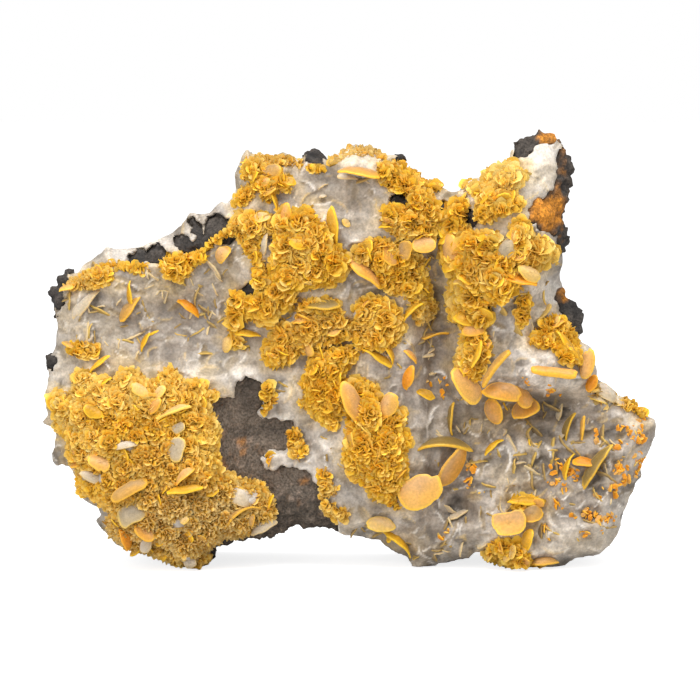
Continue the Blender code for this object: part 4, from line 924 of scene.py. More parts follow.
def blade_ridges(xz, buried):
    """How far the crust banks up along its half buried blades."""
    ridges = np.zeros(len(xz))
    for column, row, length, _, direction, *_ in buried:
        reach = length * GRID_STEP / 2
        middle = on_face([(column, row)])[0]
        near = np.flatnonzero((np.abs(xz - middle) < reach + 2 * RIDGE_WIDTH).all(1))
        away = xz[near] - middle
        run = np.array([math.cos(math.radians(direction)), math.sin(math.radians(direction))])
        along = np.abs(away @ run) / reach
        across = away @ (-run[1], run[0])
        ridge = RIDGE_HEIGHT * np.exp(-(across / RIDGE_WIDTH) ** 2) * smooth_step(1.6 - 1.5 * along)
        ridges[near] = np.maximum(ridges[near], ridge)
    return ridges


def build_crust(material, buried):
    """The quartz crust: milky, lumpy, opening over the bare matrix, with painted shade in its hollows and
    painted highlight on its crests.
    """
    slab = plain_slab("quartz_crust_skin", [SILHOUETTE], CRUST_CELL, CRUST_SLAB)
    points, through, xz = slab_points(slab, CRUST_SLAB)
    outward = vertex_normals(slab.data, points) * (1, 0, 1)
    flat = flat_points(xz)
    drawn_in = pulled_in(xz)
    depth_in = inset(xz, SILHOUETTE)
    edges = gap_share(drawn_in, BARE_EDGES, EDGE_BLUR)
    gone = np.maximum(gap_share(xz, CRUST_HOLES, HOLE_BLUR), edges)
    well_inside = gap_share(xz, CRUST_HOLES, GAP_BLUR, -EDGE_EARLY) > 0.9
    well_inside |= gap_share(drawn_in, BARE_EDGES, GAP_BLUR, -EDGE_EARLY) > 0.9
    well_inside |= (edges > 0.35) & (depth_in < 0.0013)
    lens_colours, lens_strength, lift = draw_lenses(xz, np.random.default_rng(LENS_SEED))
    fine = crust_roughness(xz, flat) + lift + blade_ridges(xz, buried)
    front = face_relief(xz) + fine - HOLE_SINK * gone
    wrap = CRUST_WRAP * (0.52 + noise(flat, WRAP_UNEVENNESS))
    points[:, 1] = -front + np.maximum(wrap, LEAST_WRAP) * (1 - 0.95 * edges) * through
    points[:, 0] += noise(points, CRUST_SHIFT)
    points += outward * crust_tuck(points, through)[:, None]
    points[:, 2] = np.maximum(points[:, 2], 0)
    move_points(slab.data, points)
    colours = crust_colours(xz, flat, lens_colours, lens_strength)
    # The colours are darkened in the crust's hollows and lightened on its crests and banks: painted shade and
    # painted highlight.
    paint(slab.data, colours * np.clip(1 + 380 * fine, 0.60, 1.22)[:, None])
    hidden_back = (through > 0.999) & (depth_in > 0.0010)
    drop_points(slab.data, np.flatnonzero(hidden_back | well_inside))
    return finish_piece(slab, material, ["quartz_crust"], crisp=False)


def crust_colours(xz, flat, lens_colours, lens_strength):
    """Milky white to grey-brown, stained yellow by the rosettes, browner and with painted shade in the face's
    hollows, and darkened by drowned blades, partly with painted shade, with lighter edges that are partly
    painted highlight.
    """
    white = spots(xz, WHITE_SPOTS)
    # dark: browner crust, and painted shade in the face's hollows.
    dark = spots(xz, BROWN_AND_SHADE_SPOTS)
    veins = 0.5 + 0.5 * lumps(flat, 0.0065, 25) + 0.25 * lumps(flat, 0.0027, 26)
    near = inset_any(xz, [outline for outlines, _, _ in MOUNDS.values() for outline in outlines])
    stain = smooth_step(near / 0.0032 + 1 + 0.6 * lumps(flat, 0.0024, 68)) + spots(xz, STAIN_SPOTS)
    colours = lay_colours(CRUST_GREY, (
        (CRUST_WHITE, 0.02 + 0.42 * veins + 0.50 * white - 0.45 * dark),
        (CRUST_BROWN, 0.55 * dark + 0.55 * smooth_step(lumps(flat, 0.0042, 27) + 0.1) - 0.6 * white),
        (CRUST_BROWN * 1.25, smooth_step(1.4 * lumps(flat, 0.0016, 65) - 0.1) * (0.42 - 0.30 * white)),
        (CRUST_TAWNY, smooth_step(lumps(flat, 0.0055, 66) + 0.15) * 0.30),
        (lens_colours, lens_strength * (0.80 - 0.45 * white)),
        (ROCK_DARK * 1.3, spots(xz, DRUSE_SPECKS) * smooth_step(1.6 + 2.4 * lumps(flat, 0.0008, 67))),
        (CRUST_WHITE, 0.6 * smooth_step(1 - np.abs(inset_any(xz, WINDOW)) / 0.0016)),
        (CRUST_STAIN * 0.9, 0.30 * stain),
        (MOUND_SHADOW, 0.40 * smooth_step(near / 0.001 + 1)),
    ))
    return colours * (1 + 0.14 * lumps(flat, 0.0008, 70))[:, None]


def drop_points(mesh, listed):
    """Removes points of a mesh, and their faces, that other pieces hide."""
    trimmer = bmesh.new()
    trimmer.from_mesh(mesh)
    trimmer.verts.ensure_lookup_table()
    bmesh.ops.delete(trimmer, geom=[trimmer.verts[i] for i in listed], context="VERTS")
    trimmer.to_mesh(mesh)
    trimmer.free()


def draw_lenses(xz, draw):
    """Drowned blades over the crust, dark with partly painted shade and lighter along one edge with partly
    painted highlight: (colours, strength, lift) at each (x, z).
    """
    low, high = xz.min(0), xz.max(0)
    colours = np.zeros((len(xz), 3))
    strength = np.zeros(len(xz))
    lift = np.zeros(len(xz))
    for _ in range(LENS_COUNT):
        middle = draw.uniform(low, high)
        length = draw.uniform(*LENS_LENGTHS)
        width = draw.uniform(*LENS_WIDTHS)
        angle = draw.uniform(0, 2 * math.pi)
        near = np.flatnonzero((np.abs(xz - middle) < length * 0.6).all(1))
        away = xz[near] - middle
        along = 2 * (away @ (math.cos(angle), math.sin(angle))) / length
        swell = np.clip(1 - along ** 2, 0.02, 1)
        across = (away @ (-math.sin(angle), math.cos(angle))) / width + draw.uniform(-0.4, 0.4) * along ** 2
        ends = smooth_step(3 * (1 - np.abs(along)))
        # The body is darker, partly the blade's tone and partly painted shade in its dip; the edge on one side
        # is lighter, partly its rim and partly a painted highlight.
        body = smooth_step(1.6 * (1 - np.abs(across / swell))) * ends * draw.uniform(0.2, 0.85)
        edge = np.exp(-((across / swell - 0.85) / 0.30) ** 2) * ends * draw.uniform(0.1, 0.9)
        for here, tints in ((body, LENS_BODIES_AND_SHADE), (edge, LENS_EDGES_AND_HIGHLIGHT)):
            kind = draw.choice(len(tints), p=[share for _, share in tints])
            stronger = here > strength[near]
            colours[near[stronger]] = tints[kind][0]
            strength[near] = np.maximum(strength[near], here)
        lift[near] += LENS_EDGE_RISE * edge - LENS_SINK * body
    return colours, strength, lift


def rosette_layout(outlines, draw, radii):
    """Centres (x, z) and radii of rosettes spread over the outlines."""
    centres, sizes = [], []
    corners = np.vstack([on_face(outline) for outline in outlines])
    low, high = corners.min(0), corners.max(0)
    tries = int(900 * (high[0] - low[0]) * (high[1] - low[1]) / 1e-4)
    for _ in range(max(200, min(tries, 9000))):
        spot = np.array([draw.uniform(low[0], high[0]), draw.uniform(low[1], high[1])])
        size = draw.uniform(*radii)
        if all(np.linalg.norm(spot - c) > 0.78 * (size + s) for c, s in zip(centres, sizes)):
            centres.append(spot)
            sizes.append(size)
    centres, sizes = np.array(centres), np.array(sizes)
    inside = inset_any(centres, outlines) > -0.0004
    return centres[inside], sizes[inside]


def nearest_rosette(xz, centres, sizes):
    """(offset from the nearest rosette's centre, distance over its radius, its number) for each (x, z)."""
    offsets = xz[:, None, :] - centres[None]
    away = np.linalg.norm(offsets, axis=2) / sizes[None]
    nearest = away.argmin(axis=1)
    rows = np.arange(len(xz))
    return offsets[rows, nearest], away[rows, nearest], nearest


def mound_front(xz, outlines, rise, centres, sizes):
    """How far a mound's surface stands in front of the origin."""
    edge = np.clip(inset_any(xz, outlines) / MOUND_SHOULDER, 0, 1)
    dome = np.sqrt(np.clip(1 - (1 - edge) ** 2, 0, 1))
    _, away, nearest = nearest_rosette(xz, centres, sizes)
    bump = 0.42 * sizes[nearest] * np.clip(1 - away ** 2, 0, 1)
    grain = 0.0003 * lumps(flat_points(xz), 0.0022, 30)
    return face_relief(xz) + rise * dome * 0.75 + bump * (0.3 + 0.7 * dome) + grain


def bare_share(xz):
    """1 where a mound is only crust, with a ragged edge."""
    share = spots(xz, [(c, r, w * 0.8, h * 0.8, 1.0) for c, r, w, h in BARE_PATCHES])
    return np.clip(share + 0.50 * lumps(flat_points(xz), 0.0014, 60), 0, 1) * (share > 0.05)


def fin_places(outlines, draw):
    """Where fins stand: a jittered lattice over the outlines, thinned over the bare patches."""
    corners = np.vstack([on_face(outline) for outline in outlines])
    low, high = corners.min(0) - 0.001, corners.max(0) + 0.001
    columns = np.arange(low[0], high[0], FIN_SPACING)
    rows = np.arange(low[1], high[1], FIN_SPACING * 0.87)
    across, up = np.meshgrid(columns, rows)
    across = across + (np.arange(len(rows)) % 2)[:, None] * FIN_SPACING / 2
    places = np.stack([across.ravel(), up.ravel()], axis=1)
    places += draw.uniform(-0.4, 0.4, places.shape) * FIN_SPACING
    keep = (inset_any(places, outlines) > 0.0001) & (bare_share(places) < 0.5) & (places[:, 1] > LOWEST_FIN)
    return places[keep]


def side_places(outlines, depth):
    """Where fins stand on a mound's sides: ((x, z), metres behind its surface, outward (x, z)) of each."""
    places, behind, outward = [], [], []
    for outline in outlines:
        corners = on_face(outline)
        following = np.roll(corners, -1, axis=0)
        clockwise = np.sign(np.sum(following[:, 0] * corners[:, 1] - corners[:, 0] * following[:, 1]))
        for start, end in zip(corners, following):
            run = end - start
            length = np.linalg.norm(run)
            normal = np.array([-run[1], run[0]]) / length * clockwise
            for share in np.arange(0.5, length / SIDE_FIN_SPACING) * SIDE_FIN_SPACING / length:
                for back in np.arange(0.0006, depth, SIDE_FIN_SPACING):
                    places.append(start + run * share - normal * 0.0002)
                    behind.append(back)
                    outward.append(normal)
    return np.array(places), np.array(behind), np.array(outward)


def build_fins(places, front_of, centres, sizes, lengths, draw, sides=None):
    """Thin curved plates standing on a mound, and on its sides if given: (points, faces, colours)."""
    behind, outward = np.zeros(len(places)), np.zeros((len(places), 2))
    if sides:
        above = sides[0][:, 1] > LOWEST_FIN
        places = np.vstack([places, sides[0][above]])
        behind = np.concatenate([behind, sides[1][above]])
        outward = np.vstack([outward, 4 * sides[2][above]])
    count = len(places)
    offset, away, nearest = nearest_rosette(places, centres, sizes)
    step = 0.0003
    here = front_of(places)
    slope_x = (front_of(places + (step, 0)) - here) / step
    slope_z = (front_of(places + (0, step)) - here) / step
    out = np.column_stack([-slope_x, -np.ones(count), -slope_z])
    out += flat_points(offset) / sizes[nearest][:, None] * FIN_FAN + flat_points(outward)
    pale, dull = spots(places, PALE_SPOTS), spots(places, DULL_SPOTS)
    wildness = FIN_WILDNESS + PALE_WILDNESS * pale + SIDE_WILDNESS * (behind > 0)
    out += draw.normal(0, 1, out.shape) * wildness[:, None]
    out /= np.linalg.norm(out, axis=1)[:, None]
    angle = np.arctan2(offset[:, 1], offset[:, 0]) + math.pi / 2 + draw.normal(0, 0.95, count)
    along = np.column_stack([np.cos(angle), draw.normal(0, 1, count) * (0.15 + (behind > 0)), np.sin(angle)])
    along -= out * (along * out).sum(1)[:, None]
    along /= np.linalg.norm(along, axis=1)[:, None]
    across = np.cross(out, along)
    length = draw.uniform(*lengths, count) * pick(FIN_LENGTH_MIX, draw, count)
    length *= 1 + 0.55 * pale - 0.30 * dull
    tall = length * draw.uniform(*FIN_HEIGHTS, count) + 0.0002
    bend = draw.normal(0.06, 0.11, count) * length
    thick = draw.uniform(*FIN_THICKNESS, count) * (1 + 1.2 * pale)
    u = np.linspace(-1, 1, FIN_COLUMNS)
    profile = np.sqrt(np.clip(1 - (0.93 * u) ** 2, 0, 1))
    ripple = draw.normal(0, 0.07, (count, FIN_COLUMNS))
    base = np.column_stack([places[:, 0], behind - here, places[:, 1]])
    grid = np.empty((count, 2, len(FIN_LEVELS), FIN_COLUMNS, 3))
    for s, side in enumerate((-0.5, 0.5)):
        for b, (level, breadth) in enumerate(FIN_LEVELS):
            reach = (profile[None] + ripple) * tall[:, None] * level - FIN_ROOTING * (1 - level)
            sideways = bend[:, None] * (u[None] ** 2 - 0.4) + side * (thick * breadth)[:, None]
            lengthwise = u[None] * length[:, None] / 2 * (0.8 + 0.2 * level)
            grid[:, s, b] = (base[:, None] + along[:, None] * lengthwise[..., None]
                             + across[:, None] * sideways[..., None] + out[:, None] * reach[..., None])
    colours = fin_colours(grid, places, count, draw)
    return grid.reshape(-1, 3), fin_faces(count), colours.reshape(-1, 3)


def fin_colours(grid, places, count, draw):
    """Dark at the root as painted shade between the fins, and bright along the rim, their yellow with a
    painted highlight; paler or duller in the places listed for it.
    """
    pale = np.clip(draw.normal(0.15, 0.25, count) + 0.35 * lumps(flat_points(places), 0.006, 41), 0, 1)
    pale = np.clip(pale + 0.6 * spots(places, PALE_SPOTS), 0, 1)
    # The rim colour is the fins' yellow with a painted highlight.
    rim = blend_colours(FIN_RIM_AND_HIGHLIGHT, FIN_PALE, pale)
    rim = blend_colours(rim, FIN_DULL, 0.75 * spots(places, DULL_SPOTS) + 0.25 * draw.random(count))
    body = blend_colours(np.tile(FIN_BODY, (count, 1)), rim, 0.25 + 0.5 * pale)
    shade = draw.uniform(0.74, 1.10, count)[:, None]
    rim, body = rim * shade, body * shade
    colours = np.empty(grid.shape)
    colours[:, :, 0] = FIN_ROOT_SHADE
    colours[:, :, 1] = body[:, None, None]
    colours[:, :, 2] = rim[:, None, None]
    return colours


def fin_faces(count):
    """Quads of one fin's two sides, repeated for every fin."""
    back = len(FIN_LEVELS) * FIN_COLUMNS
    quads = []
    for level in range(len(FIN_LEVELS) - 1):
        for low in range(level * FIN_COLUMNS, (level + 1) * FIN_COLUMNS - 1):
            high = low + FIN_COLUMNS
            quads.append([low, low + 1, high + 1, high])
            quads.append([back + low + 1, back + low, back + high, back + high + 1])
    starts = np.arange(count)[:, None, None] * (2 * back)
    return (np.array(quads)[None] + starts).reshape(-1, 4)


def add_mesh(name, parts):
    """One object from (points, quads, colours) parts."""
    points = np.vstack([p for p, _, _ in parts])
    starts = np.cumsum([0] + [len(p) for p, _, _ in parts[:-1]])
    faces = np.vstack([f + start for (_, f, _), start in zip(parts, starts)])
    mesh = bpy.data.meshes.new(name)
    mesh.vertices.add(len(points))
    mesh.vertices.foreach_set("co", points.astype(np.float32).ravel())
    mesh.loops.add(faces.size)
    mesh.loops.foreach_set("vertex_index", faces.astype(np.int32).ravel())
    mesh.polygons.add(len(faces))
    mesh.polygons.foreach_set("loop_start", np.arange(0, faces.size, 4, dtype=np.int32))
    mesh.update(calc_edges=True)
    paint(mesh, np.vstack([c for _, _, c in parts]))
    obj = bpy.data.objects.new(name, mesh)
    bpy.context.scene.collection.objects.link(obj)
    return obj


def quads_of(mesh):
    """A mesh's quads (a triangle repeats its last corner)."""
    return np.array([list(p.vertices) + [p.vertices[-1]] * (4 - len(p.vertices)) for p in mesh.polygons])


def plate_outline(angle, pointed, draw):
    """An oval as (a, b) from -1 to 1: with sharp ends, or blunt ones if pointed is negative."""
    corners = np.sort(draw.uniform(0, 2 * math.pi, OUTLINE_CORNERS))
    least = 0.74 if pointed < -0.25 else 0.86
    wave = np.interp(angle, corners, draw.uniform(least, 1.07, OUTLINE_CORNERS), period=2 * math.pi)
    wave += draw.normal(0, 0.013, len(angle))
    a, b = np.cos(angle), np.sin(angle)
    if pointed < 0:
        power = 1 + 0.5 * pointed
        return np.sign(a) * np.abs(a) ** power * wave, np.sign(b) * np.abs(b) ** power * wave
    return a * wave, b * wave * (1 - 0.55 * pointed * np.abs(a) ** 1.6)


def lens_plate(blade, draw, sides=30, rings=7, thickness=1):
    """A BLADES row as (points, quads, colours): an oval plate, thinner and brighter at its rim."""
    column, row, length, width, direction, swing, out, tint, pointed = blade
    angle = np.linspace(0, 2 * math.pi, sides, endpoint=False)
    outline_a, outline_b = plate_outline(angle, pointed, draw)
    share = np.concatenate([np.linspace(0.02, 0.84, rings - 2), [0.93, 1.0]])
    a, b = share[:, None] * outline_a[None], share[:, None] * outline_b[None]
    thick = PLATE_THICKNESS * (0.45 + 0.7 * min(length, 40) / 40) * thickness
    bend = draw.normal(*PLATE_BEND) * length * GRID_STEP
    cup = draw.normal(*PLATE_CUP) * width * GRID_STEP
    twist = draw.normal(*PLATE_TWIST) * length * GRID_STEP
    fall = np.array([1.0] * (rings - 2) + [0.88, 0.45])
    middle_sheet = -bend * (a ** 2 - 0.3) - cup * (b ** 2 - 0.3) + twist * a * b
    middle_sheet += 0.00005 * np.sin(9 * share[:, None] + 3 * np.cos(2 * angle)[None])
    layers = []
    for side in (1, -1):
        depth = -middle_sheet - side * thick / 2 * fall[:, None]
        layers.append(np.stack([a * length * GRID_STEP / 2, depth, b * width * GRID_STEP / 2], axis=-1))
    points = np.concatenate([layer.reshape(-1, 3) for layer in layers])
    turn = Matrix.Rotation(-math.radians(direction), 4, "Y") @ Matrix.Rotation(-math.radians(swing), 4, "X")
    spot = on_face([(column, row)])
    middle = np.array([spot[0, 0], -face_relief(spot)[0] - out, spot[0, 1]])
    points = points @ np.array(turn.to_3x3()).T + middle
    points[:, 2] = np.maximum(points[:, 2], 0.0002)
    return points, plate_faces(sides, rings), np.concatenate([plate_colours(tint, a, b, share, draw)] * 2)


def plate_colours(tint, a, b, share, draw):
    """From the rooted upper half to the free lower half, with growth bands and a bright rim."""
    root, free, rim = (np.array(colour) for colour in TINTS[tint])
    flat = np.column_stack([a.ravel(), b.ravel(), np.zeros(a.size)])
    freedom = smooth_step(0.5 - 0.6 * flat[:, 1] + 0.3 * lumps(flat + draw.uniform(0, 90), 0.5, 51))
    colours = blend_colours(root, free, freedom)
    bands = np.sin(share * 16 + draw.uniform(0, 6))[:, None] + 0 * a
    patches = 0.10 * lumps(flat + draw.uniform(0, 90), 0.35, 52)
    colours = colours * (draw.uniform(0.88, 1.06) * (1 + patches[:, None] + 0.05 * bands.reshape(-1, 1)))
    bright = smooth_step((share - 0.80) / 0.16)[:, None] * np.clip(0.95 - 0.45 * b, 0.35, 1)
    return blend_colours(colours, rim, bright.ravel())


def plate_faces(sides, rings):
    """Quads of a plate's two faces and its rim. The middle is closed by pairs of the innermost ring."""
    quads = []
    back = sides * rings
    for r in range(rings - 1):
        for i in range(sides):
            j = (i + 1) % sides
            low, high = r * sides, (r + 1) * sides
            quads.append([low + i, high + i, high + j, low + j])
            quads.append([back + low + j, back + high + j, back + high + i, back + low + i])
    outer = (rings - 1) * sides
    for i in range(sides):
        j = (i + 1) % sides
        quads.append([outer + i, back + outer + i, back + outer + j, outer + j])
    for i in range(sides // 2 - 1):
        quads.append([i, i + 1, sides - 2 - i, sides - 1 - i])
        quads.append([back + sides - 1 - i, back + sides - 2 - i, back + i + 1, back + i])
    return np.array(quads)


def spot_in(column, row, half_width, half_height, draw):
    """A random spot on the grid, in the box round (column, row)."""
    return (column + half_width * draw.uniform(-1, 1), row + half_height * draw.uniform(-1, 1))


def pick(shares, draw, count=None):
    """One of the keys (or this many), as often as its share says."""
    return draw.choice(list(shares), count, p=list(shares.values()))


def buried_blades(draw):
    """Small blades standing on edge in banks of the crust, with only their rims in sight, as BLADES rows."""
    blades = []
    for *zone, count in BURIED_ZONES:
        for _ in range(count):
            spot = spot_in(*zone, draw)
            xz = on_face([spot])
            near_gap = inset_any(xz, CRUST_HOLES + BARE_EDGES)[0] > -BURIED_FROM_GAP
            if near_gap or inset(xz, SILHOUETTE)[0] < BURIED_FROM_EDGE:
                continue
            length = BURIED_SHORTEST + BURIED_LONGER * draw.random() ** 1.6
            width = length * draw.uniform(0.35, 0.55)
            swing = draw.uniform(*BURIED_SWINGS)
            out = RIDGE_HEIGHT + RIM_SHOWING * draw.uniform(0.2, 1.4) - width * GRID_STEP / 2
            tint = pick(BURIED_TINTS, draw)
            direction, pointed = draw.uniform(0, 180), draw.uniform(0, 0.6)
            blades.append((*spot, length, width, direction, swing, out, tint, pointed))
    return blades


def specks(draw):
    """Tiny orange tablets scattered on the crust, a few together."""
    parts = []
    for *zone, count in SPECK_ZONES:
        for i in range(count):
            if i % SPECKS_TOGETHER == 0:
                cluster = spot_in(*zone, draw)
            spot = (cluster[0] + draw.normal(0, SPECK_SCATTER), cluster[1] + draw.normal(0, SPECK_SCATTER))
            if inset(on_face([spot]), SILHOUETTE)[0] < SPECK_FROM_EDGE:
                continue
            size = draw.uniform(*SPECK_SIZES) * pick(SPECK_SIZE_MIX, draw)
            tint = pick(SPECK_TINTS, draw)
            blade = (*spot, size, size * draw.uniform(0.5, 0.9), draw.uniform(0, 180),
                     draw.uniform(*SPECK_SWINGS), draw.uniform(*SPECK_OUT), tint, -0.6)
            parts.append(lens_plate(blade, draw, **SPECK_PLATE))
    return parts


def spread_petals(outlines, draw):
    """Middling petals strewn over a mound, turned more to the viewer than the fins are, as BLADES rows."""
    corners = np.vstack([np.array(outline, float) for outline in outlines])
    low, high = corners.min(0), corners.max(0)
    petals = []
    for _ in range(int((high[0] - low[0]) * (high[1] - low[1]) / STEPS_PER_PETAL)):
        spot = draw.uniform(low, high)
        if inset_any(on_face([spot]), outlines)[0] < 0.0002 or bare_share(on_face([spot]))[0] > 0.3:
            continue
        length = draw.uniform(*PETAL_LENGTHS)
        tint = pick(PETAL_TINTS, draw)
        petals.append((*spot, length, length * draw.uniform(0.55, 0.9), draw.uniform(0, 180),
                       draw.uniform(*PETAL_SWINGS), draw.uniform(*PETAL_OUT), tint, draw.uniform(-0.6, 0.4)))
    return petals


def build_mass(name, outlines, rise, front_of):
    """The solid body of a mound as (points, quads, colours), open where its back is hidden."""
    slab = plain_slab(name + "_mass", outlines, MOUND_CELL)
    points, through, xz = slab_points(slab, SLAB_DEPTH)
    quads = quads_of(slab.data)
    bpy.data.objects.remove(slab)
    bare = bare_share(xz)
    rough = noise(flat_points(xz), BARE_ROUGHNESS)
    points[:, 1] = -front_of(xz) + 0.0004 + (rise + MOUND_ROOT) * through + bare * (0.0006 * rough - 0.0001)
    points[:, 2] = np.maximum(points[:, 2], 0)
    crust = blend_colours(CRUST_WHITE * 0.85, CRUST_BROWN * 1.8, 0.35 + 0.6 * rough)
    # The mass between the fins is darkened as painted shade, darker still towards its back.
    colours = lay_colours(FIN_ROOT_SHADE * 1.6, (
        (FIN_BODY, 0.35 + 0.3 * lumps(points, 0.001, 44)),
        (crust, bare * 1.5),
        (FIN_ROOT_SHADE, 1.2 * through),
    ))
    return points, quads[(through[quads] < 0.95).any(1)], colours


def build_mound(name, outlines, rise, lengths, material):
    """A mound: its mass, its fins and its large blades, as one piece."""
    draw = random.Random(name)
    numbers = np.random.default_rng(sum(ord(letter) * (i + 1) for i, letter in enumerate(name)))
    centres, sizes = rosette_layout(outlines, draw, ROSETTE_RADII)

    def front_of(xz):
        return mound_front(xz, outlines, rise, centres, sizes)

    parts = [build_mass(name, outlines, rise, front_of)]
    places = fin_places(outlines, numbers)
    sides = side_places(outlines, rise + MOUND_ROOT - 0.0004)
    parts.append(build_fins(places, front_of, centres, sizes, lengths, numbers, sides))
    parts += [lens_plate(blade, numbers) for blade in BLADES.get(name, [])]
    parts += [lens_plate(petal, numbers, **SMALL_PLATE) for petal in spread_petals(outlines, numbers)]
    return finish_piece(add_mesh(name + "_growth", parts), material, [name])


def build_small_rosettes(material):
    """Small rosettes that stand on the crust by themselves, as one piece."""
    numbers = np.random.default_rng(SMALL_ROSETTE_SEED)
    draw = random.Random("small rosettes")
    parts = []
    for outline in SMALL_ROSETTES:
        centres, sizes = rosette_layout([outline], draw, SMALL_ROSETTE_RADII)
        if len(centres) == 0:
            continue

        def front_of(xz, outline=outline, centres=centres, sizes=sizes):
            return mound_front(xz, [outline], SMALL_ROSETTE_RISE, centres, sizes)

        places = fin_places([outline], numbers)
        parts.append(build_fins(places, front_of, centres, sizes, MIDDLE, numbers))
    return finish_piece(add_mesh("small_rosettes", parts), material, [])


def build_blades(name, rows, nodes, material, draw, **shape):
    """BLADES rows as one piece."""
    plates = [lens_plate(row, draw, **shape) for row in rows]
    return finish_piece(add_mesh(name, plates), material, nodes)


def finish_piece(obj, material, nodes, crisp=True):
    """Gives a piece its look and its place in the frame; a crisp one keeps its edges sharp."""
    obj.data.materials.clear()
    obj.data.materials.append(material)
    obj.data.polygons.foreach_set("use_smooth", [True] * len(obj.data.polygons))
    if crisp:
        obj.data.set_sharp_from_angle(angle=math.radians(32))
    if nodes:
        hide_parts(*nodes)
    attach(obj, "root")
    return obj


def add_node(tree, kind, values, links, **settings):
    """A shader node with its input values, its incoming links and its settings."""
    node = tree.nodes.new("ShaderNode" + kind)
    for name, value in settings.items():
        setattr(node, name, value)
    connect(tree, node, values, links)
    return node


def connect(tree, node, values, links):
    """Sets a shader node's input values and its incoming links."""
    for name, value in values.items():
        node.inputs[name].default_value = value
    for name, output in links.items():
        tree.links.new(output, node.inputs[name])


def tinted_material(name, roughness, subsurface, radius, bump, bump_size, mottle):
    """A Principled material whose colour is the piece's stored tint, mottled as strongly as asked."""
    material = bpy.data.materials.new(name)
    material.use_nodes = True
    tree = material.node_tree
    tint = add_node(tree, "VertexColor", {}, {}, layer_name="tint")
    place = add_node(tree, "TexCoord", {}, {}).outputs["Object"]
    noises = [add_node(tree, "TexNoise", {"Scale": finer / bump_size, "Detail": detail}, {"Vector": place})
              for finer, detail in ((1, 4), (2.0, 3))]
    relief = add_node(tree, "Bump", {"Strength": 0.6, "Distance": bump}, {"Height": noises[0].outputs["Fac"]})
    reach = {"From Min": 0.35, "From Max": 0.65, "To Min": 1 - mottle, "To Max": 1 + mottle}
    strength = add_node(tree, "MapRange", reach, {"Value": noises[1].outputs["Fac"]})
    mottled = add_node(tree, "VectorMath", {}, {}, operation="SCALE")
    connect(tree, mottled, {}, {0: tint.outputs["Color"], "Scale": strength.outputs["Result"]})
    shading = {"Roughness": roughness, "Specular IOR Level": SHEEN, "Subsurface Weight": subsurface,
               "Subsurface Radius": radius, "Subsurface Scale": 1.0}
    connect(tree, tree.nodes["Principled BSDF"], shading,
            {"Normal": relief.outputs["Normal"], "Base Color": mottled.outputs["Vector"]})
    return material


def build_stage():
    """White floor, white surroundings, a soft light from above and one from the front."""
    bpy.ops.mesh.primitive_plane_add(size=8, location=(0, 0, -0.0002))
    floor = bpy.context.object
    floor.name = "floor"
    white = bpy.data.materials.new("floor_white")
    white.use_nodes = True
    tree = white.node_tree
    path = add_node(tree, "LightPath", {}, {})
    glow = add_node(tree, "Math", {1: FLOOR_GLOW}, {0: path.outputs["Is Camera Ray"]}, operation="MULTIPLY")
    shading = {"Base Color": FLOOR_GREY, "Roughness": 1, "Specular IOR Level": 0,
               "Emission Color": WHITE_LIGHT}
    connect(tree, tree.nodes["Principled BSDF"], shading, {"Emission Strength": glow.outputs["Value"]})
    floor.data.materials.append(white)
    build_world()
    for name, lamp in LAMPS.items():
        add_light(name, *lamp)


def build_world():
    """White to look at, and a dimmer even light on the specimen."""
    world = bpy.data.worlds.new("surroundings")
    world.use_nodes = True
    tree = world.node_tree
    light = tree.nodes["Background"]
    connect(tree, light, {"Color": WHITE_LIGHT, "Strength": SKY_STRENGTH}, {})
    seen = add_node(tree, "Background", {"Color": WHITE_LIGHT, "Strength": 1.0}, {})
    path = add_node(tree, "LightPath", {}, {})
    either = add_node(tree, "MixShader", {}, {
        "Fac": path.outputs["Is Camera Ray"],
        1: light.outputs["Background"],
        2: seen.outputs["Background"],
    })
    connect(tree, tree.nodes["World Output"], {}, {"Surface": either.outputs["Shader"]})
    bpy.context.scene.world = world


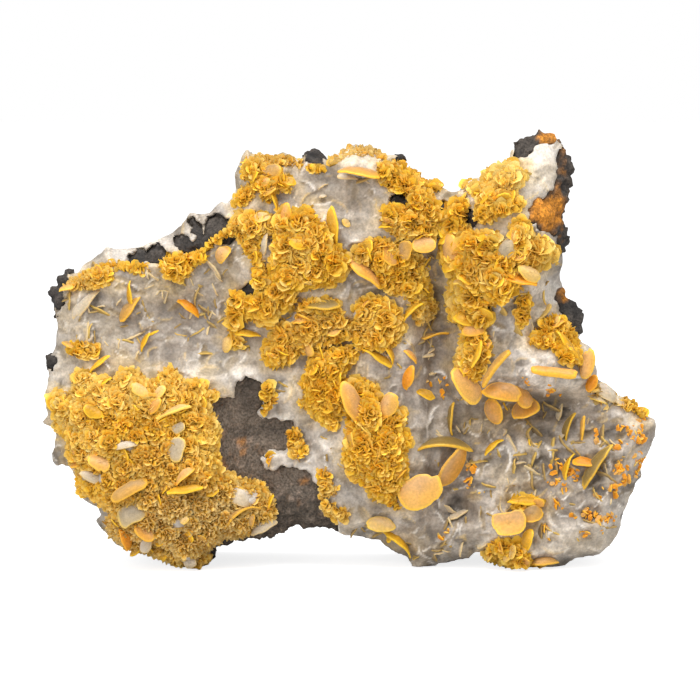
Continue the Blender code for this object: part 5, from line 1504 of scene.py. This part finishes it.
def add_light(name, place, aim, size, watts):
    lamp = bpy.data.lights.new(name, "AREA")
    lamp.energy = watts
    lamp.size = size
    light = bpy.data.objects.new(name, lamp)
    bpy.context.scene.collection.objects.link(light)
    light.location = place
    light.rotation_euler = (Vector(aim) - Vector(place)).to_track_quat("-Z", "Y").to_euler()


def build_camera():
    """Level with the specimen and a little above, through a long lens."""
    lens = bpy.data.cameras.new("camera")
    lens.lens = CAMERA_LENS
    lens.sensor_width = 36
    lens.clip_start = 0.01
    lens.clip_end = 50
    camera = bpy.data.objects.new("camera", lens)
    bpy.context.scene.collection.objects.link(camera)
    away = Vector((0, -math.cos(CAMERA_ELEVATION), math.sin(CAMERA_ELEVATION)))
    camera.location = CAMERA_TARGET + CAMERA_DISTANCE * away
    camera.rotation_euler = (CAMERA_TARGET - camera.location).to_track_quat("-Z", "Y").to_euler()
    bpy.context.scene.camera = camera


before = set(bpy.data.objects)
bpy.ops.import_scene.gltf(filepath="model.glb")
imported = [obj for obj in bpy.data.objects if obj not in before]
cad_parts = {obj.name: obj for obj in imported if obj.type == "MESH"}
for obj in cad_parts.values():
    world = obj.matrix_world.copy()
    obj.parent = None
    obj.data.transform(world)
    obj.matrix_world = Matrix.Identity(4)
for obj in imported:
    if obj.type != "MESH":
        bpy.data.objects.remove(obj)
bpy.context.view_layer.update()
looks = [tinted_material(name, *look) for name, look in LOOKS.items()]
crust_look, rock_look, rosette_look, blade_look = looks

build_matrix(rock_look)
half_buried = buried_blades(np.random.default_rng(BURIED_SEED))
build_crust(crust_look, half_buried)
for mound_name, (mound_outlines, mound_rise, fin_lengths) in MOUNDS.items():
    build_mound(mound_name, mound_outlines, mound_rise, fin_lengths, rosette_look)
build_small_rosettes(rosette_look)
blade_numbers = np.random.default_rng(BLADE_SEED)
for node in sorted(node for node in BLADES if node and node not in MOUNDS):
    times_as_thick = THICK_BLADES.get(node, 1)
    build_blades(node + "_crystal", BLADES[node], [node], blade_look, blade_numbers, thickness=times_as_thick)
build_blades("small_blades", BLADES[""], [], blade_look, blade_numbers)
build_blades("buried_blades", half_buried, [], blade_look, blade_numbers, **SMALL_PLATE)
finish_piece(add_mesh("orange_specks", specks(blade_numbers)), blade_look, [])
build_stage()
build_camera()
bpy.context.scene.view_settings.view_transform = "Standard"
